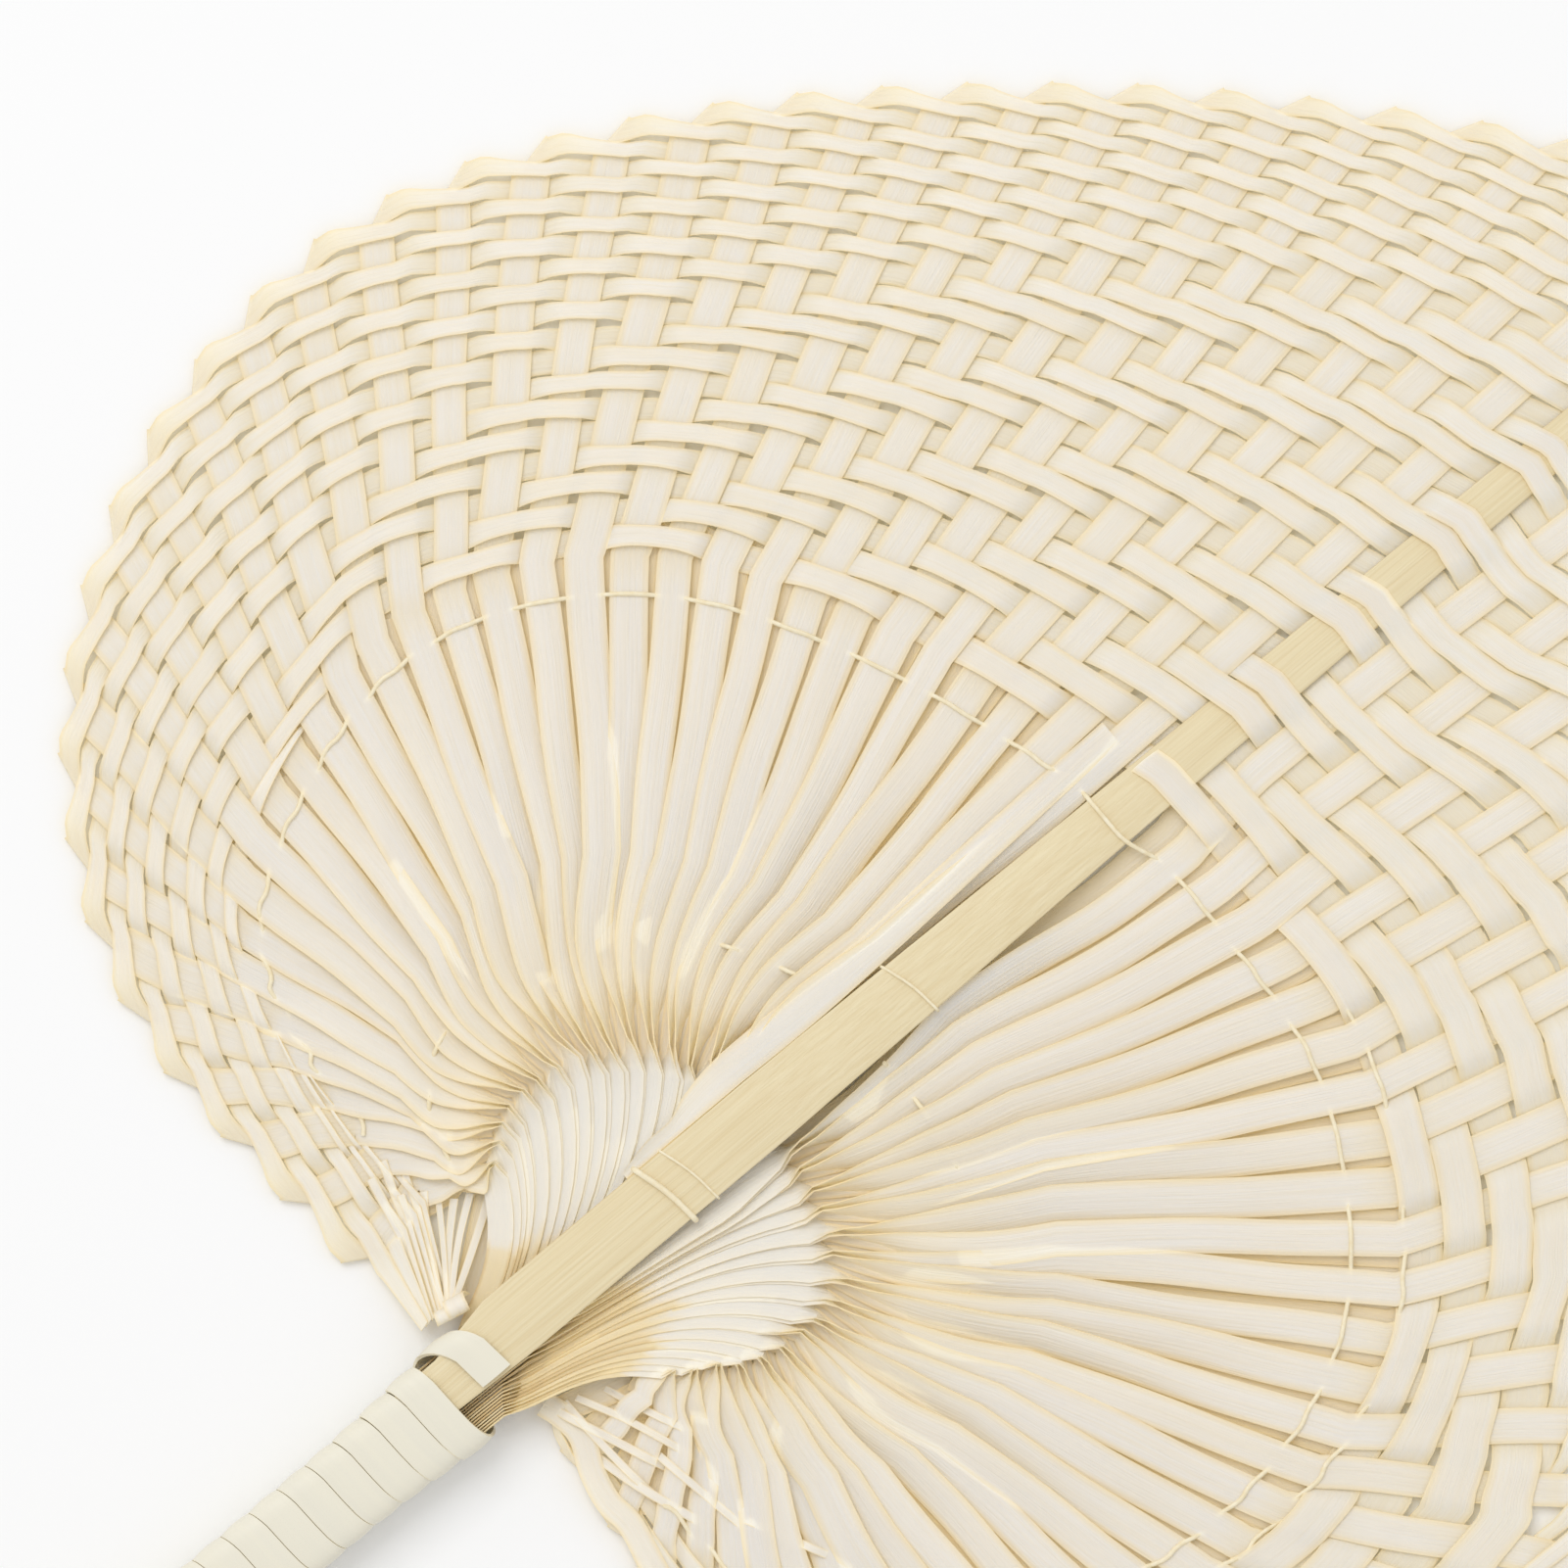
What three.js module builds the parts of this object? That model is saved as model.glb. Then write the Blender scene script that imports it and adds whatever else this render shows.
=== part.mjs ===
// Palm leaf fan, in millimetres. It lies face up: +Y runs from the handle to the tip, +Z faces the viewer.
// One young fan-palm leaf makes the whole fan. Its stalk is the handle, its midrib the flat slat up the
// middle, and its leaflets are plaited into the blade.

import * as THREE from 'three';

// Blade outline, right half; the handle's mouth is at y = 0
const BLADE_HALF_WIDTH = 151.8;
const BLADE_WIDEST_Y = 97;
const BLADE_TIP_Y = 285;
const LOBE_X = 62;
const LOBE_Y = -3;
const ROOT_X = 16;
const ROOT_Y = 2;
const LOBE_ROUNDING = 50;
const FLANK_ROUNDING = 55;
const SHOULDER_ROUNDING = 56;
const TIP_ROUNDING_X = 62;
const TIP_ROUNDING_Y = 28;

// Inner edge of the plaited band and the line where the pleats open, from the mouth to the middle
const INNER_EDGE_LEFT = [
  [28, 17], [58, 14], [79, 22], [93, 46], [97.7, 70], [91, 93], [73, 115], [40, 133], [0, 146],
];
const INNER_EDGE_RIGHT = [
  [28, 17], [50, 12], [75, 19], [95, 45], [102.5, 85], [91, 120], [58, 143], [22, 147], [0, 146],
];
const PLEAT_LINE_LEFT = [[21, 27], [27.5, 36], [28, 45], [23, 55], [14.5, 62]];
const PLEAT_LINE_RIGHT = [[22.5, 26], [29, 37], [32, 48], [27, 57], [15, 62]];

// Leaflets
const LEAFLETS_PER_SIDE = 16;
const LEAF_THICKNESS = 0.22;
const LEAF_WIDTH = 10;
const PLEAT_WIDTH = 5.2;
const BUTT_WIDTH = 4;
const BUTT_LENGTH = 8;
const PAGE_PITCH = 0.44;

// Plaiting: share of its slot that a leaflet fills, and the space kept between crossing leaflets
const LEAF_FILL = 0.72;
const PLEAT_FILL = 0.85;
const ROW_FILL = 0.74;
const CROSSING_CLEARANCE = 0.28;
const BAND_RISE = 1;
const ROW_MAX_PITCH = 11.3;
const ROW_WIDENING = 1.2;
const ROW_REACH = 24;
const TAIL_SLOTS = 2.96;
const TAPER_SLOTS = 1.5;
const TIP_SLOTS = 0.35;

// Rib and stalk
const RIB_WIDTH_MOUTH = 8;
const RIB_WIDTH_BLADE = 11.4;
const RIB_WIDTH_BAND = 9;
const RIB_WIDTH_TIP = 6;
const RIB_THICKNESS = 1.8;
const RIB_TIP_THICKNESS = 1;
const RIB_MOUTH_X = 1;
const RIB_FULL_WIDTH_Y = 12;
const RIB_DESCENT_START_Y = 66;
const RIB_TIP_GAP = 19;
const RIB_BAND_LIFT = 0.4;
const STALK_WIDTH = 12.6;
const STALK_HEIGHT = 7;
const STALK_TAPER_Y = -26;
const STALK_CHAMFER = 2;

// Handle, beside the line of the rib, and its wrap
const HANDLE_X = 3.5;
const HANDLE_LENGTH = 104;
const BARE_STALK_LENGTH = 2.7;
const WRAP_WIDTH = 5.3;
const WRAP_TURN_GAP = 0.55;
const WRAP_THICKNESS = 0.6;
const WRAP_STEPS = 16;
const WRAP_TOP_Y = 0.8;
const MOUTH_EASE = 1.1;
const MOUTH_FLARE_LENGTH = 28;
const STRAP_RISE = 5.2;
const STRAP_TURN = 0.36;
const STRAP_END_ANGLE = 0.497 * Math.PI;
const WRAP_SQUARENESS = 5;

// Threads, tie and knot
const THREAD_SIZE = 0.6;
const OUTER_THREAD_PLACE = 0.92;
const INNER_THREAD_PLACE = 0.15;
const TIE_Y = 45;
const TIE_DROP = 2;
const KNOT_WIDTH = 4;
const KNOT_LENGTH = 5.6;
const KNOT_HEIGHT = 3.2;
const KNOT_PLACE = 0.3;

const SEAT_GAP = 0.3;

// Each leaflet has a slot round the blade, counted clockwise from the lower left; the rib has the middle one
const SLOTS = 2 * LEAFLETS_PER_SIDE + 1;
const RIB_SLOT = LEAFLETS_PER_SIDE;
const MIDDLE = SLOTS / 2;

// Heights above the table
const WEAVE_RISE = (LEAF_THICKNESS + CROSSING_CLEARANCE) / (2 - LEAF_FILL - ROW_FILL);
const RIM_Z = WEAVE_RISE + LEAF_THICKNESS / 2;
const WRAP_WALL = WRAP_THICKNESS + SEAT_GAP;
const PAGE_Z = WRAP_WALL + STALK_HEIGHT / 2;
const RIB_BOTTOM_Z = PAGE_Z + PLEAT_WIDTH / 2 + LEAF_THICKNESS + SEAT_GAP;
const RIB_TOP_Z = RIB_BOTTOM_Z + RIB_THICKNESS;
const BAND_Z = RIM_Z + BAND_RISE;

const leafMaterial = new THREE.MeshStandardMaterial({ color: 0xefe9da, roughness: 0.55, metalness: 0 });
const ribMaterial = new THREE.MeshStandardMaterial({ color: 0xe6dab6, roughness: 0.5, metalness: 0 });
const wrapMaterial = new THREE.MeshStandardMaterial({ color: 0xeeead8, roughness: 0.45, metalness: 0 });
const threadMaterial = new THREE.MeshStandardMaterial({ color: 0xf3ecd6, roughness: 0.6, metalness: 0 });

const clamp01 = (value) => THREE.MathUtils.clamp(value, 0, 1);
const lerp = THREE.MathUtils.lerp;
const range = (start, end) => Array.from({ length: end - start }, (_, index) => start + index);

function bezier(points) {
  return new THREE.CubicBezierCurve(...points.map(([x, y]) => new THREE.Vector2(x, y)));
}

function spline(points) {
  return new THREE.SplineCurve(points.map(([x, y]) => new THREE.Vector2(x, y)));
}

// Rim of the right half, from the root beside the handle round the lobe to the tip
const rim = new THREE.CurvePath();
rim.add(new THREE.LineCurve(new THREE.Vector2(ROOT_X, ROOT_Y), new THREE.Vector2(LOBE_X, LOBE_Y)));
rim.add(bezier([
  [LOBE_X, LOBE_Y],
  [LOBE_X + LOBE_ROUNDING, LOBE_Y],
  [BLADE_HALF_WIDTH, BLADE_WIDEST_Y - FLANK_ROUNDING],
  [BLADE_HALF_WIDTH, BLADE_WIDEST_Y],
]));
rim.add(bezier([
  [BLADE_HALF_WIDTH, BLADE_WIDEST_Y],
  [BLADE_HALF_WIDTH, BLADE_WIDEST_Y + SHOULDER_ROUNDING],
  [TIP_ROUNDING_X, BLADE_TIP_Y - TIP_ROUNDING_Y],
  [0, BLADE_TIP_Y],
]));
const innerEdgeLeft = spline(INNER_EDGE_LEFT);
const innerEdgeRight = spline(INNER_EDGE_RIGHT);
const pleatLineLeft = spline(PLEAT_LINE_LEFT);
const pleatLineRight = spline(PLEAT_LINE_RIGHT);
const creaseHalf = (LEAF_WIDTH * MIDDLE) / (2 * rim.getLength());

// Point at a slot on a curve that runs from the handle to the middle on each side
function onSides(left, right, slot) {
  if (slot <= MIDDLE) {
    const point = left.getPointAt(clamp01(slot / MIDDLE));
    return new THREE.Vector2(-point.x, point.y);
  }
  return right.getPointAt(clamp01((SLOTS - slot) / MIDDLE));
}

const rimPoint = (slot) => onSides(rim, rim, slot);
const edgePoint = (slot) => onSides(innerEdgeLeft, innerEdgeRight, slot);
const pleatPoint = (slot) => onSides(pleatLineLeft, pleatLineRight, slot);
const pageX = (slot) => HANDLE_X + (slot - MIDDLE) * PAGE_PITCH;

// Gathered part of a leaflet: straight out of the handle, then spreading to the pleat line
function gatheredPoint(slot, along) {
  const start = new THREE.Vector2(pageX(slot), 0);
  const end = pleatPoint(slot);
  const bend = new THREE.Vector2(start.x, end.y * 0.72);
  return new THREE.QuadraticBezierCurve(start, bend, end).getPoint(along);
}

const openWidth = (along) => lerp(PLEAT_WIDTH, LEAF_WIDTH, along);
const openFill = (along) => lerp(PLEAT_FILL, LEAF_FILL, along);
const openZ = (along) => lerp(PAGE_Z, BAND_Z, along);
const openPoint = (slot, along) => pleatPoint(slot).lerp(edgePoint(slot), along);
const bandPoint = (slot, depth) => rimPoint(slot).lerp(edgePoint(slot), depth);
const bandZ = (depth) => lerp(RIM_Z, BAND_Z, depth);

// Rows of the plaited band, counted from the rim: each leaflet folds over at the rim and runs on clockwise
// as a row, pushing the rows folded before it inwards
const foldSlot = (leaf) => leaf + 0.5;
const rowEnd = (leaf) => (leaf < RIB_SLOT ? MIDDLE + ROW_REACH / (1 + leaf) : foldSlot(leaf) + TAIL_SLOTS);

function rowWeight(leaf, slot) {
  const run = slot - foldSlot(leaf);
  const growth = clamp01(run + 1 - creaseHalf);
  const widening = 1 + ROW_WIDENING * clamp01(run / LEAFLETS_PER_SIDE);
  const taper = clamp01((rowEnd(leaf) - slot) / TAPER_SLOTS);
  return leaf === RIB_SLOT ? 0 : growth * widening * taper;
}

// Depth of a row's outer and inner edge at a slot, 0 at the rim and 1 at the band's inner edge
function rowDepths(leaf, slot) {
  let outer = 0;
  let total = 0;
  for (let other = 0; other < SLOTS; other += 1) {
    const weight = rowWeight(other, slot);
    total += weight;
    outer += other > leaf ? weight : 0;
  }
  const fewest = rimPoint(slot).distanceTo(edgePoint(slot)) / ROW_MAX_PITCH;
  const scale = 1 / Math.max(total, fewest);
  const width = rowWeight(leaf, slot) * scale;
  const margin = (width * (1 - ROW_FILL)) / 2;
  return { outer: outer * scale + margin, inner: outer * scale + width - margin };
}

const rowMiddle = (leaf, slot) => {
  const { outer, inner } = rowDepths(leaf, slot);
  return (outer + inner) / 2;
};

// Height at which a row clears the stiff rib on its way to the next leaflet
function ribCrossingRise(leaf) {
  const depth = rowMiddle(leaf, MIDDLE);
  const pitch = bandPoint(MIDDLE - 0.5, depth).distanceTo(bandPoint(MIDDLE + 0.5, depth));
  const half = RIB_WIDTH_BAND / (2 * pitch);
  const clear = (RIB_TIP_THICKNESS + LEAF_THICKNESS) / 2 + CROSSING_CLEARANCE;
  return (clear + half * WEAVE_RISE) / (1 - half);
}

// A row goes over its own leaflet and the next one, then under and over the rest in turn
const crosses = (leaf, slot) => leaf !== RIB_SLOT && slot > leaf && slot < SLOTS
  && foldSlot(slot) + TIP_SLOTS < rowEnd(leaf);
const isOver = (leaf, slot) => slot - leaf < 2 || (slot - leaf) % 2 === 1;

// Half of a leaflet's width, in slots, where the slots are this wide: flat if it fits, tilted if it doesn't
function spread(pointAt, slot, width, fill) {
  const pitch = pointAt(slot - 0.5).distanceTo(pointAt(slot + 0.5));
  const half = Math.min(fill / 2, width / (2 * pitch));
  const flat = half * pitch * 2;
  return { half, rise: Math.sqrt(Math.max(width * width - flat * flat, 0)) / 2 };
}

const at = (point, z) => new THREE.Vector3(point.x, point.y, z);

// A cross-section of a strip: its left and right edge, facing along it
function tiltedSection(pointAt, slot, z, width, fill) {
  const { half, rise } = spread(pointAt, slot, width, fill);
  return { left: at(pointAt(slot - half), z - rise), right: at(pointAt(slot + half), z + rise) };
}

function flatSection(pointAt, slot, z) {
  const { half } = spread(pointAt, slot, LEAF_WIDTH, LEAF_FILL);
  const lift = new THREE.Vector3(0, 0, LEAF_THICKNESS / 2);
  return { left: at(pointAt(slot - half), z), right: at(pointAt(slot + half), z), lift };
}

// Closed solid of a strip through its cross-sections; a section may bring its own thickness vector. Both faces
// are split along the same diagonal, so that they stay parallel where the strip twists
function strip(sections, thickness) {
  const middles = sections.map(({ left, right }) => left.clone().add(right).multiplyScalar(0.5));
  const positions = [];
  sections.forEach(({ left, right, lift }, index) => {
    const ahead = middles[Math.min(index + 1, middles.length - 1)];
    const behind = middles[Math.max(index - 1, 0)];
    const across = right.clone().sub(left);
    const up = lift ?? across.cross(ahead.clone().sub(behind)).setLength(thickness / 2);
    positions.push(...left.clone().add(up), ...right.clone().add(up));
    positions.push(...right.clone().sub(up), ...left.clone().sub(up));
  });
  const last = 4 * (sections.length - 1);
  const triangles = [0, 3, 2, 0, 2, 1, last, last + 1, last + 2, last, last + 2, last + 3];
  for (let ring = 0; ring < last; ring += 4) {
    const [a, b, c, d] = range(ring, ring + 4);
    triangles.push(a, b, b + 4, a, b + 4, a + 4, b, c, c + 4, b, c + 4, b + 4);
    triangles.push(d, d + 4, c + 4, d, c + 4, c, d, a, a + 4, d, a + 4, d + 4);
  }
  return solid(positions, triangles);
}

function solid(positions, triangles) {
  const geometry = new THREE.BufferGeometry();
  geometry.setAttribute('position', new THREE.Float32BufferAttribute(positions, 3));
  geometry.setIndex(triangles);
  geometry.computeVertexNormals();
  return geometry;
}

// One leaflet: butt in the handle, pleat, open blade, then through the rows and over the fold into its row
function leaflet(leaf) {
  const slot = foldSlot(leaf);
  const sections = [];
  const butt = (position) => new THREE.Vector2(pageX(position), -BUTT_LENGTH);
  sections.push(tiltedSection(butt, slot, PAGE_Z, BUTT_WIDTH, PLEAT_FILL));
  for (const along of [0, 0.2, 0.4, 0.6, 0.8, 1]) {
    const place = (position) => gatheredPoint(position, along);
    sections.push(tiltedSection(place, slot, PAGE_Z, lerp(BUTT_WIDTH, PLEAT_WIDTH, along), PLEAT_FILL));
  }
  for (const along of [INNER_THREAD_PLACE, 0.45]) {
    const place = (position) => openPoint(position, along);
    sections.push(tiltedSection(place, slot, openZ(along), openWidth(along), openFill(along)));
  }
  const threadPlace = (position) => openPoint(position, OUTER_THREAD_PLACE);
  sections.push(flatSection(threadPlace, slot, openZ(OUTER_THREAD_PLACE)));

  const rows = range(0, leaf).filter((row) => crosses(row, leaf));
  const riseAt = (row) => (isOver(row, leaf) ? -WEAVE_RISE : WEAVE_RISE);
  sections.push(flatSection(edgePoint, slot, BAND_Z + riseAt(rows.length > 0 ? rows[0] : leaf)));
  for (const row of rows) {
    const place = (position) => bandPoint(position, rowMiddle(row, position));
    sections.push(flatSection(place, slot, bandZ(rowMiddle(row, slot)) + riseAt(row)));
  }

  const creaseLeft = bandPoint(slot - creaseHalf, rowDepths(leaf, slot - creaseHalf).inner);
  const creaseRight = bandPoint(slot + creaseHalf, 0);
  const crease = creaseRight.clone().sub(creaseLeft).normalize();
  for (const level of [-1, 1]) {
    const z = RIM_Z + level * WEAVE_RISE;
    const lift = new THREE.Vector3(crease.y, -crease.x, -level).multiplyScalar(LEAF_THICKNESS / 2);
    sections.push({ left: at(creaseLeft, z), right: at(creaseRight, z), lift });
  }

  const lift = new THREE.Vector3(0, 0, -LEAF_THICKNESS / 2);
  const rowSection = (position, rise) => {
    const { outer, inner } = rowDepths(leaf, position);
    const z = bandZ((outer + inner) / 2) + rise;
    return { left: at(bandPoint(position, inner), z), right: at(bandPoint(position, outer), z), lift };
  };
  sections.push(rowSection(slot + 0.5, WEAVE_RISE));
  for (let crossing = leaf + 1; crosses(leaf, crossing); crossing += 1) {
    const side = isOver(leaf, crossing) ? 1 : -1;
    const rise = crossing === RIB_SLOT ? RIB_BAND_LIFT + side * ribCrossingRise(leaf) : side * WEAVE_RISE;
    sections.push(rowSection(foldSlot(crossing), rise));
    if (!crosses(leaf, crossing + 1)) {
      sections.push(rowSection(foldSlot(crossing) + TIP_SLOTS, rise));
    }
  }
  return strip(sections, LEAF_THICKNESS);
}

// Rib and stalk in one: a rounded bar in the handle that flattens into the slat up the middle of the blade
function ribSection(y, x, width, bottom, top) {
  const chamfer = Math.min(STALK_CHAMFER, (top - bottom) / 3);
  const left = x - width / 2;
  const right = x + width / 2;
  return [
    [left, bottom + chamfer], [left + chamfer, bottom], [right - chamfer, bottom], [right, bottom + chamfer],
    [right, top - chamfer], [right - chamfer, top], [left + chamfer, top], [left, top - chamfer],
  ].map(([px, pz]) => [px, y, pz]);
}

function ribTopAt(y) {
  const share = (y - RIB_DESCENT_START_Y) / (edgePoint(MIDDLE).y - RIB_DESCENT_START_Y);
  return lerp(RIB_TOP_Z, BAND_Z + RIB_BAND_LIFT + RIB_TIP_THICKNESS / 2, clamp01(share));
}

function ribAndStalk() {
  const stalkTop = WRAP_WALL + STALK_HEIGHT;
  const edgeY = edgePoint(MIDDLE).y;
  const edgeZ = BAND_Z + RIB_BAND_LIFT;
  const tipZ = bandZ(RIB_TIP_GAP / (BLADE_TIP_Y - edgeY)) + RIB_BAND_LIFT;
  const thin = RIB_TIP_THICKNESS / 2;
  const rings = [
    ribSection(-HANDLE_LENGTH, HANDLE_X, STALK_WIDTH, WRAP_WALL, stalkTop),
    ribSection(STALK_TAPER_Y, HANDLE_X, STALK_WIDTH, WRAP_WALL, stalkTop),
    ribSection(-BUTT_LENGTH - SEAT_GAP, RIB_MOUTH_X, RIB_WIDTH_MOUTH, RIB_BOTTOM_Z, RIB_TOP_Z),
    ribSection(0, RIB_MOUTH_X, RIB_WIDTH_MOUTH, RIB_BOTTOM_Z, RIB_TOP_Z),
    ribSection(RIB_FULL_WIDTH_Y, 0, RIB_WIDTH_BLADE, RIB_BOTTOM_Z, RIB_TOP_Z),
    ribSection(RIB_DESCENT_START_Y, 0, RIB_WIDTH_BLADE, RIB_BOTTOM_Z, RIB_TOP_Z),
    ribSection(edgeY, 0, RIB_WIDTH_BAND, edgeZ - thin, edgeZ + thin),
    ribSection(BLADE_TIP_Y - RIB_TIP_GAP, 0, RIB_WIDTH_TIP, tipZ - thin, tipZ + thin),
  ];

  const sides = rings[0].length;
  const triangles = [];
  for (let corner = 1; corner < sides - 1; corner += 1) {
    const end = sides * (rings.length - 1);
    triangles.push(0, corner, corner + 1, end, end + corner + 1, end + corner);
  }
  for (let ring = 0; ring < rings.length - 1; ring += 1) {
    for (let corner = 0; corner < sides; corner += 1) {
      const here = ring * sides + corner;
      const next = ring * sides + ((corner + 1) % sides);
      triangles.push(here, next + sides, next, here, here + sides, next + sides);
    }
  }
  return solid(rings.flat(2), triangles);
}

// Handle wrap: one flat strip wound round stalk and leaflet butts, whose last turn climbs over the rib
const HANDLE_HALF_WIDTH = STALK_WIDTH / 2 + WRAP_WALL + SEAT_GAP;
const HANDLE_HALF_HEIGHT = (RIB_TOP_Z + WRAP_WALL + SEAT_GAP) / 2;
const MOUTH_HALF_WIDTH = MIDDLE * PAGE_PITCH + WRAP_WALL + MOUTH_EASE;
const WRAP_PITCH = WRAP_WIDTH + WRAP_TURN_GAP;
const WRAP_LENGTH = HANDLE_LENGTH - BARE_STALK_LENGTH + WRAP_TOP_Y - WRAP_WIDTH / 2;

function wrapPoint(turnsLeft, outward) {
  const angle = STRAP_END_ANGLE + turnsLeft * 2 * Math.PI;
  const climb = STRAP_RISE * clamp01(1 - turnsLeft / STRAP_TURN);
  const y = WRAP_TOP_Y - WRAP_PITCH * turnsLeft + climb;
  const flare = clamp01(1 + y / MOUTH_FLARE_LENGTH);
  const halfWidth = lerp(HANDLE_HALF_WIDTH, MOUTH_HALF_WIDTH, flare * flare) + outward;
  const halfHeight = HANDLE_HALF_HEIGHT + outward;
  const round = (value) => Math.sign(value) * Math.abs(value) ** (2 / WRAP_SQUARENESS);
  const x = HANDLE_X + halfWidth * round(Math.cos(angle));
  return new THREE.Vector3(x, y, HANDLE_HALF_HEIGHT + halfHeight * round(Math.sin(angle)));
}

function handleWrap() {
  const steps = Math.floor((WRAP_LENGTH / WRAP_PITCH) * WRAP_STEPS);
  const sections = [];
  for (let step = 0; step <= steps; step += 1) {
    const turnsLeft = (steps - step) / WRAP_STEPS;
    const inner = wrapPoint(turnsLeft, -WRAP_THICKNESS);
    const outer = wrapPoint(turnsLeft, 0);
    const middle = inner.clone().add(outer).multiplyScalar(0.5);
    const side = new THREE.Vector3(0, WRAP_WIDTH / 2, 0);
    const lift = outer.clone().sub(inner).multiplyScalar(0.5);
    sections.push({ left: middle.clone().add(side), right: middle.clone().sub(side), lift });
  }
  const gaps = sections.slice(WRAP_STEPS).map(({ right }, index) => right.distanceTo(sections[index].left));
  console.log(`least gap between turns of the handle wrap: ${Math.min(...gaps).toFixed(2)} mm`);
  return strip(sections, WRAP_THICKNESS);
}

// Thread laid round the blade over and under the leaflets in turn
function outerThread() {
  const sections = [];
  const place = (position) => openPoint(position, OUTER_THREAD_PLACE);
  const z = openZ(OUTER_THREAD_PLACE);
  const leafGap = (LEAF_THICKNESS + THREAD_SIZE) / 2 + SEAT_GAP;
  const overRib = ribTopAt(place(MIDDLE).y) + THREAD_SIZE / 2 + SEAT_GAP;
  for (let leaf = 1; leaf < SLOTS - 1; leaf += 1) {
    const { half } = spread(place, foldSlot(leaf), LEAF_WIDTH, LEAF_FILL);
    const overLeaf = z + (leaf % 2 === 0 ? leafGap : -leafGap);
    const height = leaf === RIB_SLOT ? overRib : overLeaf;
    for (const side of [-half, half]) {
      sections.push(threadSection(place, foldSlot(leaf) + side, height));
    }
  }
  return strip(sections, THREAD_SIZE);
}

function threadSection(place, slot, z) {
  const point = at(place(slot), z);
  const ahead = place(slot + 0.1).sub(place(slot - 0.1)).setLength(THREAD_SIZE / 2);
  const side = new THREE.Vector3(-ahead.y, ahead.x, 0);
  const lift = new THREE.Vector3(0, 0, THREAD_SIZE / 2);
  return { left: point.clone().add(side), right: point.clone().sub(side), lift };
}

// Threads laid over the pleats on each side of the rib
function innerThread(firstLeaf, lastLeaf) {
  const place = (position) => openPoint(position, INNER_THREAD_PLACE);
  const width = openWidth(INNER_THREAD_PLACE);
  const fill = openFill(INNER_THREAD_PLACE);
  const seat = openZ(INNER_THREAD_PLACE) + (LEAF_THICKNESS + THREAD_SIZE) / 2 + SEAT_GAP;
  const sections = range(firstLeaf, lastLeaf + 1).map((leaf) => {
    const { half, rise } = spread(place, foldSlot(leaf), width, fill);
    return threadSection(place, foldSlot(leaf) + half, seat + rise);
  });
  return strip(sections, THREAD_SIZE);
}

// Tie across the rib, its ends turned down beside the edges
function ribTie() {
  const half = (RIB_WIDTH_BLADE + THREAD_SIZE) / 2 + SEAT_GAP;
  const top = RIB_TOP_Z + THREAD_SIZE / 2 + SEAT_GAP;
  const across = THREAD_SIZE / 2;
  const side = new THREE.Vector3(0, across, 0);
  const end = top - TIE_DROP;
  const corners = [[-half, end, -1, 0], [-half, top, -1, 1], [half, top, 1, 1], [half, end, 1, 0]];
  const sections = corners.map(([x, z, outX, outZ]) => {
    const point = new THREE.Vector3(x, TIE_Y, z);
    const lift = new THREE.Vector3(outX, 0, outZ).multiplyScalar(across);
    return { left: point.clone().add(side), right: point.clone().sub(side), lift };
  });
  return strip(sections, THREAD_SIZE);
}

// Knot that gathers the strip ends of the left lobe, beside the leaflet butts
function lobeKnot() {
  const geometry = new THREE.SphereGeometry(0.5, 10, 6);
  geometry.scale(KNOT_WIDTH, KNOT_LENGTH, KNOT_HEIGHT);
  const page = gatheredPoint(0, KNOT_PLACE);
  geometry.translate(page.x - KNOT_WIDTH / 2 - SEAT_GAP, page.y, PAGE_Z);
  return geometry;
}

function piece(name, geometry, material) {
  const mesh = new THREE.Mesh(geometry, material);
  mesh.name = name;
  return mesh;
}

const fan = new THREE.Group();
fan.add(piece('rib_and_stalk', ribAndStalk(), ribMaterial));
for (let leaf = 0; leaf < SLOTS; leaf += 1) {
  if (leaf !== RIB_SLOT) {
    const side = leaf < RIB_SLOT ? 'left' : 'right';
    const number = leaf < RIB_SLOT ? leaf + 1 : SLOTS - leaf;
    fan.add(piece(`leaflet_${side}_${String(number).padStart(2, '0')}`, leaflet(leaf), leafMaterial));
  }
}
fan.add(piece('outer_thread', outerThread(), threadMaterial));
fan.add(piece('inner_thread_left', innerThread(1, RIB_SLOT - 1), threadMaterial));
fan.add(piece('inner_thread_right', innerThread(RIB_SLOT + 1, SLOTS - 2), threadMaterial));
fan.add(piece('rib_tie', ribTie(), threadMaterial));
fan.add(piece('lobe_knot', lobeKnot(), leafMaterial));
fan.add(piece('handle_wrap', handleWrap(), wrapMaterial));

// Origin under the middle of the fan, on the table
const box = new THREE.Box3().setFromObject(fan);
const middle = box.getCenter(new THREE.Vector3());
fan.children.forEach((mesh) => mesh.geometry.translate(-middle.x, -middle.y, -box.min.z));

export default fan;
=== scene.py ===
import math

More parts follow.
